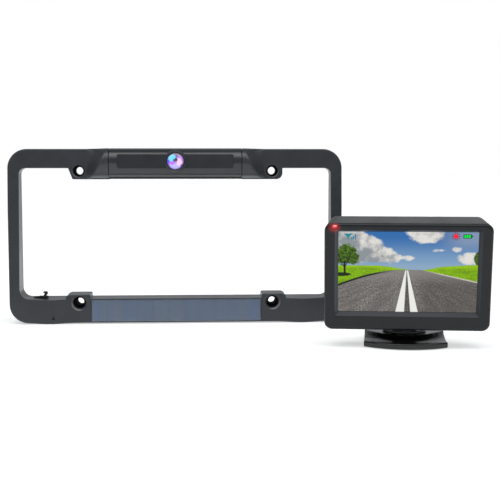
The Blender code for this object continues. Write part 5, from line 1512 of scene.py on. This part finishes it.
def studio_light():
    world = bpy.data.worlds.new("studio")
    bpy.context.scene.world = world
    world.use_nodes = True
    world.node_tree.nodes.clear()
    made = Nodes(world.node_tree)
    node, put, math = made.node, made.put, made.math
    direction = node("ShaderNodeTexCoord")
    split = node("ShaderNodeSeparateXYZ")
    put(direction.outputs["Generated"], split.inputs[0])

    turn = math("ARCTAN2", split.outputs[2], math("MULTIPLY", split.outputs[1], -1.0))
    around = node("ShaderNodeValToRGB")
    put(math("MULTIPLY_ADD", turn, 0.5 / pi, 0.5), around.inputs[0])
    stops = around.color_ramp.elements
    stops.remove(stops[1])
    for index, (degrees, bright) in enumerate(AROUND):
        position = 0.5 + degrees / 360
        stop = stops.new(position) if index else stops[0]
        stop.position = position
        stop.color = (bright, bright, bright, 1.0)
    sideways = math("MULTIPLY_ADD", math("ABSOLUTE", split.outputs[0]), 2.5, -1.4)
    sideways = math("MINIMUM", math("MAXIMUM", sideways, 0.0), 1.0)
    kept = math("MULTIPLY", around.outputs[0], math("SUBTRACT", 1.0, sideways))
    total = math("ADD", math("MULTIPLY", sideways, SIDE_LIGHT), kept)
    soft, plain = node("ShaderNodeBackground"), node("ShaderNodeBackground")
    put((0.95, 0.98, 1.0), soft.inputs["Color"])
    put(math("MULTIPLY", total, AROUND_SCALE), soft.inputs["Strength"])
    put((1.0, 1.0, 1.0), plain.inputs["Color"])
    path = node("ShaderNodeLightPath")
    choose = node("ShaderNodeMixShader")
    for value, socket in zip((path.outputs["Is Camera Ray"], soft.outputs[0], plain.outputs[0]),
                             choose.inputs):
        put(value, socket)
    put(choose.outputs[0], node("ShaderNodeOutputWorld").inputs[0])

    data = bpy.data.lights.new("top_softbox", "AREA")
    data.shape = "RECTANGLE"
    data.size, data.size_y = SOFTBOX_SIZE
    data.energy = SOFTBOX_POWER
    lamp = bpy.data.objects.new("top_softbox", data)
    bpy.context.scene.collection.objects.link(lamp)
    lamp.location = SOFTBOX_PLACE
    lamp.rotation_euler = (-Vector(SOFTBOX_PLACE)).to_track_quat("-Z", "Y").to_euler()
    lamp.visible_camera = False


def photo_camera():
    data = bpy.data.cameras.new("camera")
    data.sensor_width = 36.0
    data.lens = CAMERA_LENS
    camera = bpy.data.objects.new("camera", data)
    bpy.context.scene.collection.objects.link(camera)
    camera.location = FRAME.translation + Vector(CAMERA_PLACE)
    camera.rotation_euler = (radians(90 - CAMERA_DOWN), 0.0, radians(-CAMERA_RIGHT))
    bpy.context.scene.camera = camera


frame_front()
frame_back()
for number, (screw_x, screw_z) in enumerate(COVER_SCREWS, 1):
    screw(f"cover_fixing_{number}", "frame", FRAME, (screw_x, GAP - 0.0015, screw_z), 0.0024,
          0.00125, 0.0085, f"frame_screw_{number}")
solar_panel()
port_plug()
status_light()
camera_bar()
lens()
stand_base()
turntable()
hinge()
bezel()
rear_shell()
screen()
buttons()
gland()
finish_carried_over()
stage_floor()
studio_light()
photo_camera()
bpy.context.scene.view_settings.view_transform = "Standard"
